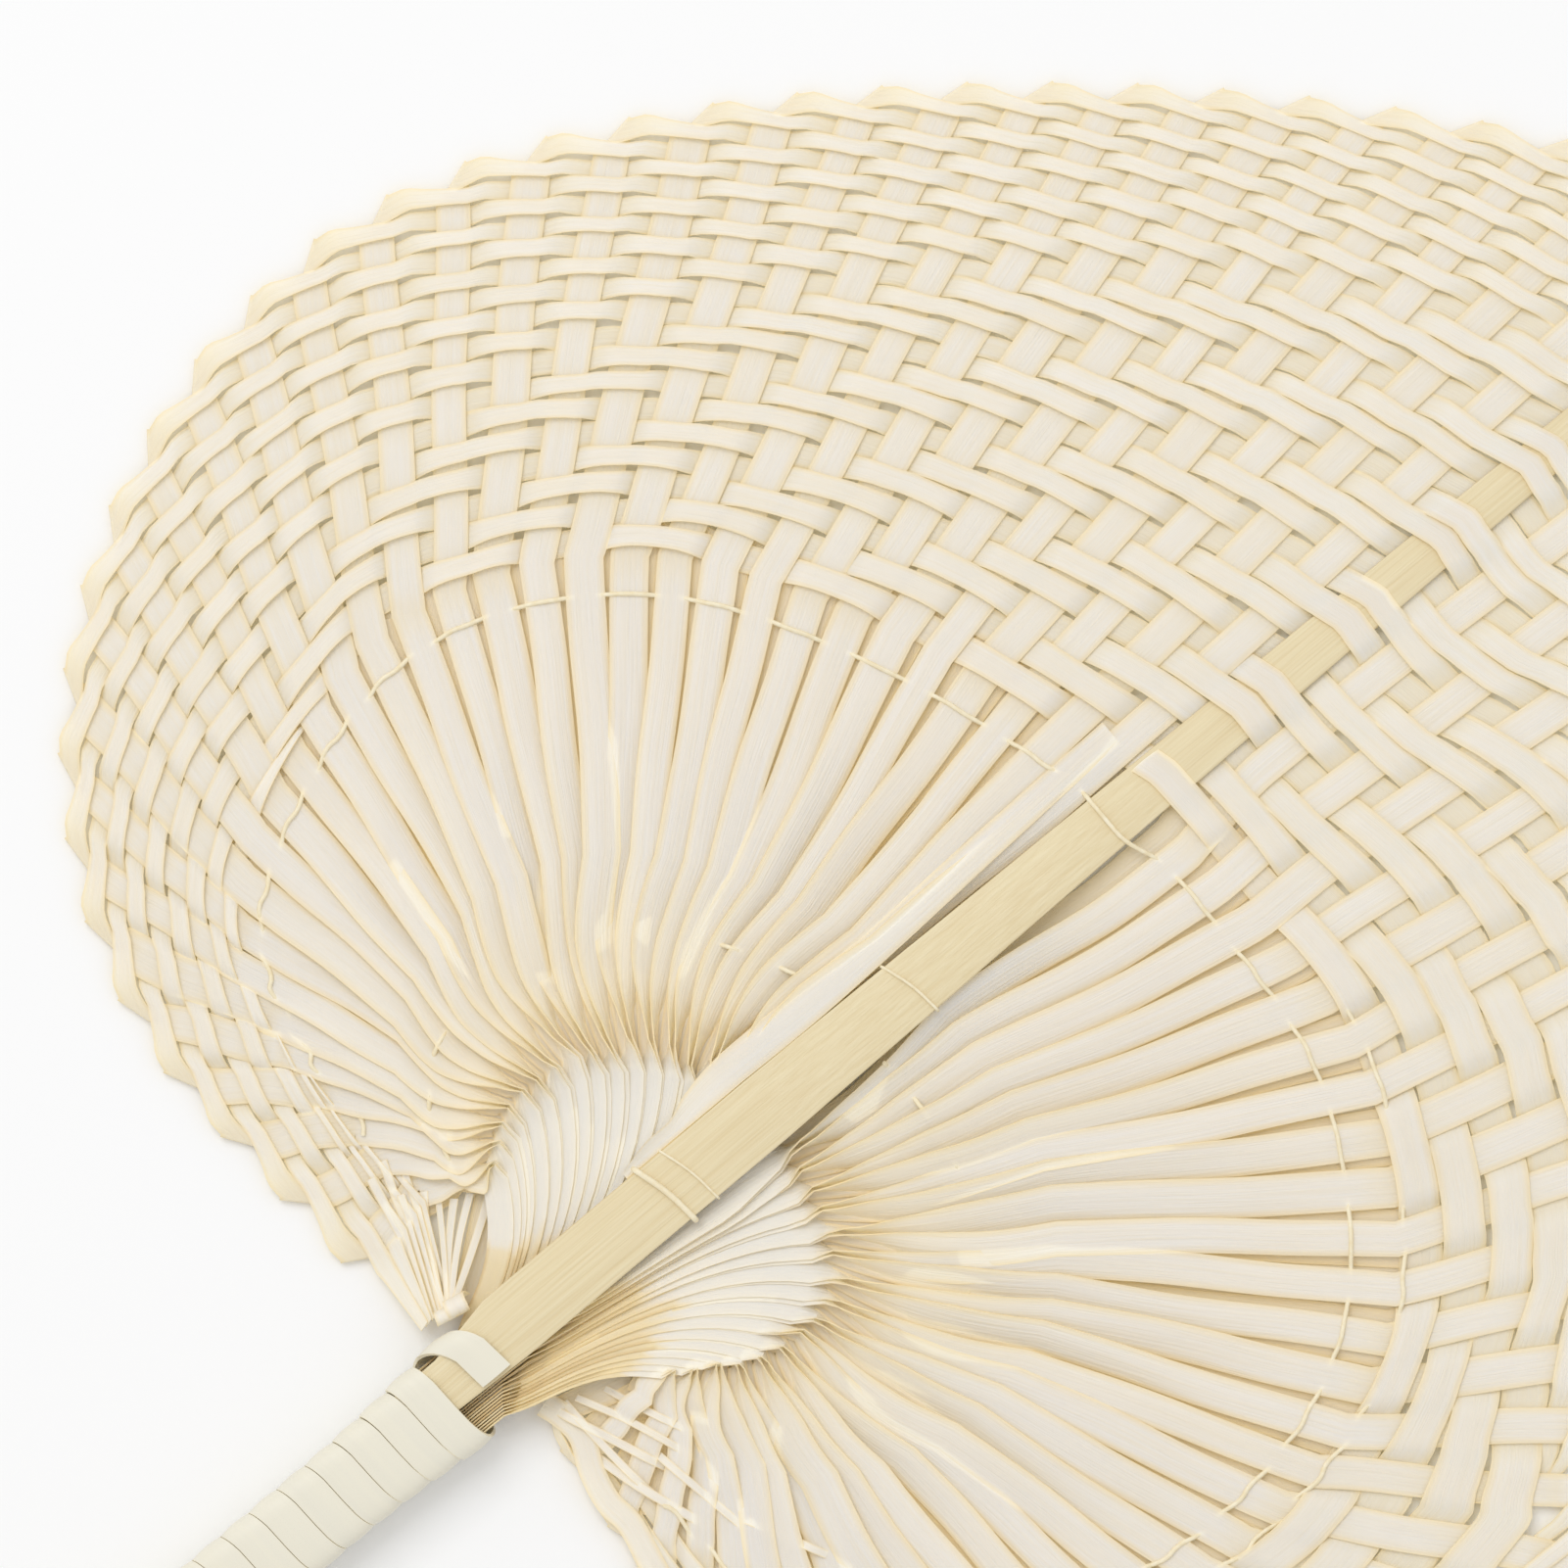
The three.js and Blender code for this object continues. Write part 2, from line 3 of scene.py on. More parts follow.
import bpy
import numpy as np
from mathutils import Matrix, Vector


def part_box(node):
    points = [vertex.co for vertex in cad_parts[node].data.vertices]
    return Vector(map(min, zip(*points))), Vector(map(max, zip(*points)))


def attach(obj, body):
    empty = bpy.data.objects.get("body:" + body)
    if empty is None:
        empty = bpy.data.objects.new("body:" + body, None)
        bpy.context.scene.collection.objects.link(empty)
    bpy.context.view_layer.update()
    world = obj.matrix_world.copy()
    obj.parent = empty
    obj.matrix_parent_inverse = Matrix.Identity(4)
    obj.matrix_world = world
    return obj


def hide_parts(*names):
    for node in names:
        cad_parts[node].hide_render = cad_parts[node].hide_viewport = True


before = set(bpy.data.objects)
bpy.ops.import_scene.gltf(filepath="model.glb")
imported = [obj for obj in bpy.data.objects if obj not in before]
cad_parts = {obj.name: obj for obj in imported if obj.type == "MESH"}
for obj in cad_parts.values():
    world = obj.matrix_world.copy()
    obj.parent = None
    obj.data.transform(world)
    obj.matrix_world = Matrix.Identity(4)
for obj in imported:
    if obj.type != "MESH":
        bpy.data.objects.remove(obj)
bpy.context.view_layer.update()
bpy.context.scene.view_settings.view_transform = "Standard"

# Camera: the fan lies flat and is seen from straight above, turned so that its handle points to the lower
# left. The frame cuts off the end of the handle, the tip and the right rim.
MM = 0.001
VIEW_WIDTH = 251.4 * MM
VIEW_DISTANCE = 1.5
VIEW_CENTRE = (-38.4 * MM, 11.5 * MM)
VIEW_TURN = math.radians(50)

bpy.ops.object.select_all(action="DESELECT")
bpy.ops.object.camera_add(location=(*VIEW_CENTRE, VIEW_DISTANCE), rotation=(0, 0, VIEW_TURN))
camera = bpy.context.object
camera.name = "overhead_camera"
camera.data.lens = camera.data.sensor_width * VIEW_DISTANCE / VIEW_WIDTH
bpy.context.scene.camera = camera

# Rib and stalk: the leaf's own stalk, the round core of the handle, and its midrib, which flattens into the
# straw-coloured slat up the middle. One piece of plant, scraped flat, with its grain running lengthwise.
HANDLE_LENGTH = 104
HANDLE_X = 3.5
RIB_THICKNESS = 1.8
RIB_BAND_THICKNESS = 0.7
RIB_WIDTH = 11.4
RIB_BAND_WIDTH = 9
RIB_BOTTOM_Z = 7.52
RIB_TOP_Z = RIB_BOTTOM_Z + RIB_THICKNESS
RIB_DESCENT_Y = 66
RIB_EDGE_ROUNDING = 0.35
BAND_MIDDLE_Y = 146
BAND_RIB_Z = 2.3
BAND_RIB_BOTTOM_Z = BAND_RIB_Z - RIB_BAND_THICKNESS / 2
BAND_RIB_TOP_Z = BAND_RIB_Z + RIB_BAND_THICKNESS / 2
STALK_COLOUR = (0.75, 0.63, 0.38, 1)
GRAIN_COLOUR = (0.69, 0.545, 0.305, 1)
PALE_GRAIN_COLOUR = (0.90, 0.82, 0.60, 1)
STALK_FIBRES_PER_METRE = 2200

# Place of the fan's own axes, with the handle's mouth at y = 0 and the rib on x = 0, in the frame
rib_low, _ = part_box("rib_and_stalk")
FAN_X = rib_low[0] / MM + RIB_WIDTH / 2
FAN_Y = rib_low[1] / MM + HANDLE_LENGTH


def in_frame(points):
    """Points in the fan's own millimetres, as metres in the frame."""
    return (np.asarray(points, float) + (FAN_X, FAN_Y, 0)) * MM


# Stations of the rib: y, middle x, width, bottom z and top z
RIB_STATIONS = [
    (-HANDLE_LENGTH, HANDLE_X, 12.6, 0.9, 7.9),
    (-26, HANDLE_X, 12.6, 0.9, 7.9),
    (-8.3, 1, 8, RIB_BOTTOM_Z, RIB_TOP_Z),
    (0, 1, 8.6, RIB_BOTTOM_Z, RIB_TOP_Z),
    (12, 0, RIB_WIDTH, RIB_BOTTOM_Z, RIB_TOP_Z),
    (40, 0, RIB_WIDTH, RIB_BOTTOM_Z, RIB_TOP_Z),
    (RIB_DESCENT_Y, 0, RIB_WIDTH, RIB_BOTTOM_Z, RIB_TOP_Z),
    (BAND_MIDDLE_Y, 0, RIB_BAND_WIDTH, BAND_RIB_BOTTOM_Z, BAND_RIB_TOP_Z),
    (266, 0, 6, 1.1, 1.7),
]


def lofted_bar(name, stations):
    """Rectangular bar through stations, extruded from one end face to the next."""
    y, x, width, bottom, top = stations[0]
    start = in_frame((x, y, (bottom + top) / 2))
    bpy.ops.object.select_all(action="DESELECT")
    bpy.ops.mesh.primitive_plane_add(size=1, location=start, rotation=(math.pi / 2, 0, 0))
    bar = bpy.context.object
    bar.name = name
    bar.scale = (width * MM, (top - bottom) * MM, 1)
    bpy.ops.object.transform_apply(location=True, rotation=True, scale=True)
    bpy.ops.object.mode_set(mode="EDIT")
    bpy.ops.mesh.select_all(action="SELECT")
    for here, there in zip(stations, stations[1:]):
        centre_here = in_frame((here[1], here[0], (here[3] + here[4]) / 2))
        centre_there = in_frame((there[1], there[0], (there[3] + there[4]) / 2))
        step = {"value": tuple(centre_there - centre_here)}
        bpy.ops.mesh.extrude_region_move(TRANSFORM_OT_translate=step)
        growth = (there[2] / here[2], 1, (there[4] - there[3]) / (here[4] - here[3]))
        bpy.ops.transform.resize(value=growth, center_override=tuple(centre_there))
    bpy.ops.mesh.select_all(action="SELECT")
    bpy.ops.mesh.normals_make_consistent(inside=False)
    bpy.ops.object.mode_set(mode="OBJECT")
    return bar


def select_only(*pieces):
    """Selects these pieces alone, with the first one active."""
    bpy.ops.object.select_all(action="DESELECT")
    for piece in pieces:
        piece.select_set(True)
    bpy.context.view_layer.objects.active = pieces[0]


def finish_modifier(piece, kind, **settings):
    """Adds a modifier to a piece and applies it."""
    select_only(piece)
    modifier = piece.modifiers.new(kind.lower(), kind)
    for key, value in settings.items():
        setattr(modifier, key, value)
    bpy.ops.object.modifier_apply(modifier=modifier.name)


def new_node(tree, kind, inputs=None, **settings):
    """Adds a shader node with its settings and its inputs, each a value or a socket."""
    node = tree.nodes.new("ShaderNode" + kind)
    for key, value in settings.items():
        setattr(node, key, value)
    for key, value in (inputs or {}).items():
        if isinstance(value, bpy.types.NodeSocket):
            tree.links.new(value, node.inputs[key])
        else:
            node.inputs[key].default_value = value
    return node


def scaled(tree, value, low, high, to_low=0.0, to_high=1.0):
    """Maps a socket from one range to another, clamped."""
    ranges = {"From Min": low, "From Max": high, "To Min": to_low, "To Max": to_high}
    return new_node(tree, "MapRange", {"Value": value, **ranges}).outputs["Result"]


def blend_colour(tree, factor, first, second):
    """Mixes two colours, each a value or a socket, by a socket."""
    return new_node(tree, "Mix", {"Factor": factor, 6: first, 7: second}, data_type="RGBA").outputs[2]


def raised(tree, shader, height, strength, distance):
    """Raises a shader's surface by a height, at most by a distance in metres."""
    bump = new_node(tree, "Bump", {"Height": height, "Strength": strength, "Distance": distance})
    tree.links.new(bump.outputs["Normal"], shader.inputs["Normal"])


def fibre_streak_group():
    """Plant fibres: fine streaks and wider bands that run along a coordinate's Y."""
    group = bpy.data.node_groups.new("fibre_streaks", "ShaderNodeTree")
    group.interface.new_socket("Vector", in_out="INPUT", socket_type="NodeSocketVector")
    group.interface.new_socket("Fibres per metre", in_out="INPUT", socket_type="NodeSocketFloat")
    group.interface.new_socket("Fine", in_out="OUTPUT", socket_type="NodeSocketFloat")
    group.interface.new_socket("Bands", in_out="OUTPUT", socket_type="NodeSocketFloat")
    inputs = group.nodes.new("NodeGroupInput").outputs
    outputs = group.nodes.new("NodeGroupOutput").inputs
    for output, share, stretch, detail in [("Fine", 1, 0.02, 3), ("Bands", 0.3, 0.03, 2)]:
        stretches = (share, share * stretch, share)
        place = new_node(group, "VectorMath", {0: inputs["Vector"], 1: stretches}, operation="MULTIPLY")
        noise = new_node(group, "TexNoise", {
            "Vector": place.outputs[0], "Scale": inputs["Fibres per metre"],
            "Detail": detail, "Roughness": 0.6,
        })
        group.links.new(scaled(group, noise.outputs["Fac"], 0.3, 0.7), outputs[output])
    return group


fibre_streaks = fibre_streak_group()


def new_finish(name, roughness):
    """A new material of one roughness, with its node tree and its shader."""
    material = bpy.data.materials.new(name)
    material.use_nodes = True
    shader = material.node_tree.nodes["Principled BSDF"]
    shader.inputs["Roughness"].default_value = roughness
    return material, material.node_tree, shader


def fibres(tree, coordinates, per_metre):
    """The fibre group's streaks and bands in a material, on some coordinates."""
    inputs = {"Vector": coordinates, "Fibres per metre": per_metre}
    return new_node(tree, "Group", inputs, node_tree=fibre_streaks).outputs


def slat_finish():
    """Straw-coloured plant slat with a long grain."""
    material, tree, shader = new_finish("straw_slat", 0.5)
    grain = fibres(tree, new_node(tree, "TexCoord").outputs["Object"], STALK_FIBRES_PER_METRE)
    bands = scaled(tree, grain["Bands"], 0, 1, 0, 0.55)
    fine = scaled(tree, grain["Fine"], 0, 1, 0, 0.4)
    colour = blend_colour(tree, bands, STALK_COLOUR, GRAIN_COLOUR)
    colour = blend_colour(tree, fine, colour, PALE_GRAIN_COLOUR)
    tree.links.new(colour, shader.inputs["Base Color"])
    tree.links.new(scaled(tree, grain["Fine"], 0, 1, 0.42, 0.58), shader.inputs["Roughness"])
    raised(tree, shader, grain["Fine"], 0.35, 0.0002)
    return material


rib = lofted_bar("rib_slat", RIB_STATIONS)
finish_modifier(
    rib, "BEVEL", width=RIB_EDGE_ROUNDING * MM, segments=3, limit_method="ANGLE", angle_limit=0.6)
bpy.ops.object.shade_smooth_by_angle(angle=math.radians(35))
rib.data.materials.append(slat_finish())
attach(rib, "root")
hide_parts("rib_and_stalk")

# Leaflets: thin strips of young palm leaf, each slit lengthwise in two. They leave the handle on edge, open
# out of their pleats, run through the plaited band, fold over at the rim and run on round it as rows.

# Chart of the plait: slots are counted clockwise from the lower left to the lower right, one for each
# leaflet and the middle one for the rib. Strips are the slit halves of leaflets, counted in the same way
LEAFLETS_PER_SIDE = 16
SLOTS = 2 * LEAFLETS_PER_SIDE + 1
MIDDLE = SLOTS / 2
RIB_STRIP = 2 * LEAFLETS_PER_SIDE
STRIPS = 2 * RIB_STRIP + 1

# Half outlines from the handle to the middle: the rim, the band's inner edge and the line where pleats open
RIM_LINE_LEFT = [(16, 0), (62, -3)]
RIM_LINE_RIGHT = [(17, 8), (26, 6), (38, 4.5), (62, -1)]
RIM_LOBE_LEFT = [(62, -3), (112, -3), (151.8, 42), (151.8, 97)]
RIM_LOBE_RIGHT = [(62, -1), (112, -1), (151.8, 42), (151.8, 97)]
RIM_SHOULDER = [(151.8, 97), (151.8, 153), (62, 257), (0, 285)]
EDGE_LEFT = [(22, 15), (56, 14), (79, 22), (93, 46), (97.7, 70), (91, 93), (73, 115), (40, 133), (0, 146)]
EDGE_RIGHT = [
    (20, 13), (50, 12), (75, 19), (95, 45), (102.5, 85), (91, 120), (58, 143), (22, 147), (0, 146),
]
PLEATS_LEFT = [(20.5, 25.5), (26.5, 34), (27, 42.5), (24.5, 51), (17.5, 58.5), (5, 66)]
PLEATS_RIGHT = [(21.5, 26.5), (28.5, 38), (31, 48), (27, 57.5), (17, 63), (4, 65)]

# A strip on its way to the rim. Its zone is 0 to 1 in the gathered pages, 1 to 2 on the open leaf and
# 2 to 3 in the band, and its neck is where the page turns over and opens
BUTT_Y = -8
BUTT_ZONE = -0.3
NECK_ZONE = 1.04
SECTION_STEP = 1.5
LEAF_THICKNESS = 0.2
BUTT_WIDTH = 3.8
PAGE_WIDTH = 4.4
RIB_PAGE_WIDTH = 9
NECK_WIDTH = 2.8
OPEN_WIDTH = (5.7, 6.0)
STRIP_WIDTH = 5.8
LOBE_NARROWING = 0.3
PAGE_PITCH = 0.44
PAGE_GAP = 0.6
PAGE_SPLIT = 0.1
OPEN_GAP = 1.0
BAND_PITCH = 9.0
NECK_BEND = 1.7
RIB_GAP = 3.2
RIB_PULL = 0.2
FOLD_ROOM = 1.6
PAGE_Z = 4.4
BAND_Z = 2.0
RIM_Z = 1.0
PAGE_STAGGER = 0.25
BASE_STAGGER = 0.3
MOUTH_RISE = 1.9
RIB_SIDE_RISE = 1.3
STRIP_RISE = 0.15
LEAF_CROWN = 0.12

# Shade sheets: a golden sheet laid under each opened strip, its colour painted shade that shows in the gaps
# between the strips
SHADE_SHEET_ZONES = (0.8, 2.06)
SHADE_SHEET_WIDTHS = (2.6, 5, 9.4)
SHADE_SHEET_Z = (3.6, 1.0)
SHADE_SHEET_STEP = 0.3

# A row: its fold at the rim, its rise over the strips and the rib, its shape and its end. Starters are the
# innermost rows, which begin at the knot
FOLD_RADIUS = 0.42
RIM_TOOTH = 1.3
TOOTH_SLOTS = 0.15
ROW_RISE = 0.58
RIB_OVER_RISE = 0.9
RIB_UNDER_RISE = -0.55
RIB_CROSSING = 4.6
STRIP_CROSSING = 0.52 * STRIP_WIDTH
PLAIN_ROWS = 10
ROW_FILL = 0.99
ROW_LENS = [(0, 0.15), (5, 0.35), (9, 0.6), (13, 0.36), (17, 0.16), (26, 0.2), (33, 0.35)]
ROW_CROWN = -0.1
ROW_MAX_PITCH = 5.4
ROW_WIDENING = 1.2
ROW_REACH = 24
TAIL_SLOTS = 2.96
LAST_ROW_GAP = 0.35
TAPER_SLOTS = 1.5
STARTER_WIDTHS = [0.35, 0.3, 0.4, 0.35, 0.4, 0.9, 1.0]
STARTER_ENDS = [1.9, 2.6, 2.2, 3.4, 3.0, 6.5, 8.5]
STARTERS = len(STARTER_WIDTHS)
KNOT_PLACE = (-7.6, 7.0)

# Shade along a strip: 1 is its golden butt, 0 the open leaf and -1 a white page. The feet are the zones
# where the butt's gold ends, at the handle's sides and beside the rib. Painted golden shade is added on top
# at the necks and where strips and rows pass under others
FEET_LEFT = (0.60, 0.36)
FEET_RIGHT = (0.74, 0.33)
# Painted golden shade at a strip's neck
NECK_PAINTED_SHADE = 0.36
# Painted golden shade where strips and rows pass under others
CROSSING_PAINTED_SHADE = 0.38
RIM_YELLOW = 0.5
LEAF_COLOUR = (0.99, 0.98, 0.955, 1)
PAGE_COLOUR = (0.99, 0.98, 0.95, 1)
LEAF_STREAK_COLOUR = (0.975, 0.92, 0.80, 1)
# Gold at the strips' edges: partly the leaf's own colour, partly painted shade along the edges
LEAF_EDGE_GOLD_AND_SHADE_COLOUR = (0.98, 0.79, 0.44, 1)
# Gold of the butts, also used for the painted golden shade at the necks and under crossings, and for the
# rim's yellow
BUTT_GOLD_AND_PAINTED_SHADE_COLOUR = (0.985, 0.84, 0.53, 1)
# Painted shade: golden colour on faces turned sideways or down and on the shade sheets
PAINTED_UNDER_SHADE_COLOUR = (0.99, 0.75, 0.36, 1)
# Painted shade: dark lines between the gathered pages at the butts
PAINTED_PAGE_GAP_SHADE_COLOUR = (0.70, 0.50, 0.25, 1)
LEAF_GLOW_COLOUR = (1.0, 0.91, 0.57, 1)
LEAF_GLOW_SHARE = 0.29
LEAF_FIBRES_PER_METRE = 2600
LEAF_SMOOTH_ANGLE = math.radians(50)

chance = np.random.default_rng(7)
leaf_jitter = chance.normal(0, 1, SLOTS)


def bezier(points, count=200):
    """Points along a cubic curve."""
    a, b, c, d = np.array(points, float)
    t = np.linspace(0, 1, count)[:, None]
    return (1 - t) ** 3 * a + 3 * t * (1 - t) ** 2 * b + 3 * t ** 2 * (1 - t) * c + t ** 3 * d


def spline(points, count=60):
    """Points along a smooth curve through all the given ones."""
    points = np.array(points, float)
    ends = np.vstack([points[:1], points, points[-1:]])
    t = np.linspace(0, 1, count)[:, None]
    pieces = []
    for before, start, end, after in zip(ends, ends[1:], ends[2:], ends[3:]):
        leave = (end - before) / 2
        arrive = (after - start) / 2
        bend = (2 * start - 2 * end + leave + arrive) * t ** 3
        pieces.append(bend + (3 * end - 3 * start - 2 * leave - arrive) * t ** 2 + leave * t + start)
    return np.vstack(pieces)


def run_lengths(points):
    """Length along a line up to each of its points."""
    steps = np.linalg.norm(np.diff(points, axis=0), axis=1)
    return np.concatenate([[0], np.cumsum(steps)])


def measured(points):
    """A curve with each point's share of the whole length."""
    along = run_lengths(points)
    return along / along[-1], points[:, 0], points[:, 1]


RIMS = [
    measured(np.vstack([np.array(line, float), bezier(lobe), bezier(RIM_SHOULDER)]))
    for line, lobe in [(RIM_LINE_LEFT, RIM_LOBE_LEFT), (RIM_LINE_RIGHT, RIM_LOBE_RIGHT)]
]
INNER_EDGES = measured(spline(EDGE_LEFT)), measured(spline(EDGE_RIGHT))
PLEAT_LINES = measured(spline(PLEATS_LEFT)), measured(spline(PLEATS_RIGHT))


def on_sides(curves, slot):
    """Point at a slot, counted clockwise from the lower left, on curves that run from handle to middle."""
    left, right = curves
    slot = np.asarray(slot, float)
    left_share = np.clip(slot / MIDDLE, 0, 1)
    right_share = np.clip((SLOTS - slot) / MIDDLE, 0, 1)
    is_left = slot <= MIDDLE
    left_x, left_y = [np.interp(left_share, left[0], values) for values in left[1:]]
    right_x, right_y = [np.interp(right_share, right[0], values) for values in right[1:]]
    x = np.where(is_left, -left_x, right_x)
    y = np.where(is_left, left_y, right_y)
    return np.stack([x, y], axis=-1)


def rim_point(slot):
    return on_sides(RIMS, slot)


def edge_point(slot):
    return on_sides(INNER_EDGES, slot)


def pleat_point(slot):
    return on_sides(PLEAT_LINES, slot)


def band_point(slot, depth):
    """Point in the plaited band, with depth 0 at the rim and 1 at the inner edge."""
    depth = np.asarray(depth, float)[..., None]
    return rim_point(slot) * (1 - depth) + edge_point(slot) * depth


def page_x(slot):
    return HANDLE_X + (slot - MIDDLE) * PAGE_PITCH


def gathered_point(slot, along):
    """Point on a leaflet's way from the handle's mouth to the pleat line."""
    along = np.asarray(along, float)[..., None]
    end = pleat_point(slot)
    start = np.array([page_x(slot), 0])
    bend = np.array([page_x(slot), 0.72 * end[1]])
    return (1 - along) ** 2 * start + 2 * along * (1 - along) * bend + along ** 2 * end


def strip_slot(strip):
    """Slot of a slit strip; the rib takes the middle one whole."""
    if strip == RIB_STRIP:
        return MIDDLE
    even = (strip + 0.5) / 2 if strip < RIB_STRIP else (strip + 1.5) / 2
    pull = RIB_PULL * math.exp(-(abs(even - MIDDLE) - 0.75) / 1.5)
    return even + pull if strip < RIB_STRIP else even - pull


def leaf_of(strip):
    return strip // 2 if strip < RIB_STRIP else (strip + 1) // 2


STRIP_SLOT = np.array([strip_slot(strip) for strip in range(STRIPS)])
RIM_LENGTH = np.linalg.norm(np.diff(np.stack(RIMS[0][1:], axis=1), axis=0), axis=1).sum()
CREASE_START = -1.0 * MIDDLE / RIM_LENGTH
CREASE_END = 2.6 * MIDDLE / RIM_LENGTH
ROW_GROWTH = 10 * MIDDLE / RIM_LENGTH


def row_end(strip):
    if strip < 0:
        return STARTER_ENDS[strip + STARTERS]
    leaf = leaf_of(strip)
    if strip < RIB_STRIP:
        return MIDDLE + ROW_REACH / (1 + leaf)
    return min(STRIP_SLOT[strip] + TAIL_SLOTS, SLOTS - LAST_ROW_GAP)


# Depth of each row's outer and inner edge round the blade: every row folded later pushes it inwards. The
# innermost rows start at the knot beside the handle and count below zero
SLOT_GRID = np.linspace(0, SLOTS, 1321)
row_weights = np.zeros((STARTERS + STRIPS, len(SLOT_GRID)))
for strip in range(-STARTERS, STRIPS):
    taper = np.clip((row_end(strip) - SLOT_GRID) / TAPER_SLOTS, 0, 1)
    if strip < 0:
        row_weights[strip + STARTERS] = STARTER_WIDTHS[strip + STARTERS] * taper
    elif strip != RIB_STRIP:
        run = SLOT_GRID - STRIP_SLOT[strip]
        growth = np.clip((run - CREASE_END + ROW_GROWTH) / ROW_GROWTH, 0, 1)
        widening = 1 + ROW_WIDENING * np.clip(run / LEAFLETS_PER_SIDE, 0, 1)
        row_weights[strip + STARTERS] = growth * widening * taper
band_lengths = np.linalg.norm(rim_point(SLOT_GRID) - edge_point(SLOT_GRID), axis=1)
row_scale = 1 / np.maximum(row_weights.sum(axis=0), band_lengths / ROW_MAX_PITCH)
rows_outside = np.cumsum(row_weights[::-1], axis=0)[::-1]
ROW_INNER = rows_outside * row_scale
ROW_OUTER = (rows_outside - row_weights) * row_scale


def row_depths(row, slot):
    outer, inner = ROW_OUTER[row + STARTERS], ROW_INNER[row + STARTERS]
    return np.interp(slot, SLOT_GRID, outer), np.interp(slot, SLOT_GRID, inner)


def crosses(row, strip):
    return row != RIB_STRIP and row < strip and STRIP_SLOT[strip] + 0.2 < row_end(row)


def is_over(row, strip):
    """Plain plaiting in the rows near the rim, two over and two under further in."""
    steps = strip - row
    if steps <= 1:
        return True
    if steps <= PLAIN_ROWS:
        return steps % 2 == 1
    return steps % 4 < 2


def eased(x, places, values):
    """Values at places, joined by smooth steps."""
    index = np.clip(np.searchsorted(places, x) - 1, 0, len(places) - 2)
    start = places[index]
    share = np.clip((x - start) / np.maximum(places[index + 1] - start, 1e-6), 0, 1)
    share = share * share * (3 - 2 * share)
    return values[index] * (1 - share) + values[index + 1] * share


def smooth_step(x, low, high):
    share = np.clip((np.asarray(x, float) - low) / (high - low), 0, 1)
    return share * share * (3 - 2 * share)


def with_z(points, z):
    return np.concatenate([points, np.broadcast_to(z, points.shape[:-1])[..., None]], axis=-1)


def unit(vectors):
    return vectors / np.maximum(np.linalg.norm(vectors, axis=-1, keepdims=True), 1e-9)


def turned_right(directions):
    return np.stack([directions[..., 1], -directions[..., 0]], axis=-1)


class Ribbon:
    """Cross-sections of a strip: its two edges, its upward side, its crown and its shade. Golden is the
    share of painted under-shade on all its faces.
    """

    def __init__(self, golden=0.0):
        self.golden = golden
        self.left, self.right, self.up, self.crown, self.base = [], [], [], [], []

    def add(self, left, right, up=None, crown=0.0, base=0.0):
        count = len(left)
        self.left.append(left)
        self.right.append(right)
        self.up.append(np.full((count, 3), np.nan) if up is None else up)
        self.crown.append(np.broadcast_to(crown, count))
        self.base.append(np.broadcast_to(base, count))

    def joined(self):
        left, right, up = np.vstack(self.left), np.vstack(self.right), np.vstack(self.up)
        middle = (left + right) / 2
        free = unit(np.cross(right - left, np.gradient(middle, axis=0)))
        up = np.where(np.isnan(up), free, up)
        return left, right, up, np.concatenate(self.crown), np.concatenate(self.base)


def one_run(left, right, golden=0.0, **shape):
    """A ribbon of one run of cross-sections."""
    ribbon = Ribbon(golden)
    ribbon.add(left, right, **shape)
    return ribbon


# Middle line and half width of each strip on its way to the rim, kept for the threads that cross it
strip_runs = {}


def leaf_course(strip, page_slot):
    """Middle line of a strip from its butt to the rim, its zones and the pitch to its neighbours."""
    slot = STRIP_SLOT[strip]
    gathered = np.linspace(0, 1, 16)
    opened = np.linspace(0, 1, 36)[1:]
    parted = smooth_step(opened, -0.1, 0.35)
    open_slots = page_slot + (slot - page_slot) * parted
    band_length = np.linalg.norm(edge_point(slot) - rim_point(slot))
    last = row_depths(strip, slot)[1] + FOLD_ROOM / band_length
    depths = np.linspace(1, last, max(4, int((1 - last) * band_length / SECTION_STEP)))[1:]

    def open_point(position):
        pleats = pleat_point(position)
        return pleats + (edge_point(position) - pleats) * opened[:, None]

    points = np.vstack([
        [(page_x(page_slot), BUTT_Y)],
        gathered_point(page_slot, gathered),
        open_point(open_slots),
        band_point(slot, depths),
    ])
    zone = np.concatenate([[BUTT_ZONE], gathered, 1 + opened, 2 + (1 - depths)])
    pages = [gathered_point(page_slot + shift, gathered) for shift in (-0.5, 0.5)]
    halves = [open_point(open_slots + shift) for shift in (-0.25, 0.25)]
    pitch = np.concatenate([
        [PAGE_PITCH],
        np.linalg.norm(pages[1] - pages[0], axis=-1),
        np.linalg.norm(halves[1] - halves[0], axis=-1) * (2 - parted),
        np.full(len(depths), BAND_PITCH),
    ])
    return points, zone, pitch


def leaf_tilt(zone, pitch, neck):
    """Turn of a strip about its run: a page on edge, turned over through the neck and opened flat."""
    page_tilt = np.arcsin(np.clip(PAGE_GAP / pitch, 0, 1))
    open_tilt = np.arcsin(np.clip(OPEN_GAP / pitch, 0, 1))
    tilt = page_tilt - math.pi + (math.pi / 2 - page_tilt) * smooth_step(zone, neck - 0.11, neck)
    tilt = tilt + (math.pi / 2 - open_tilt) * smooth_step(zone, neck - 0.04, neck + 0.13)
    return tilt * (1 - smooth_step(zone, 1.75, 2))


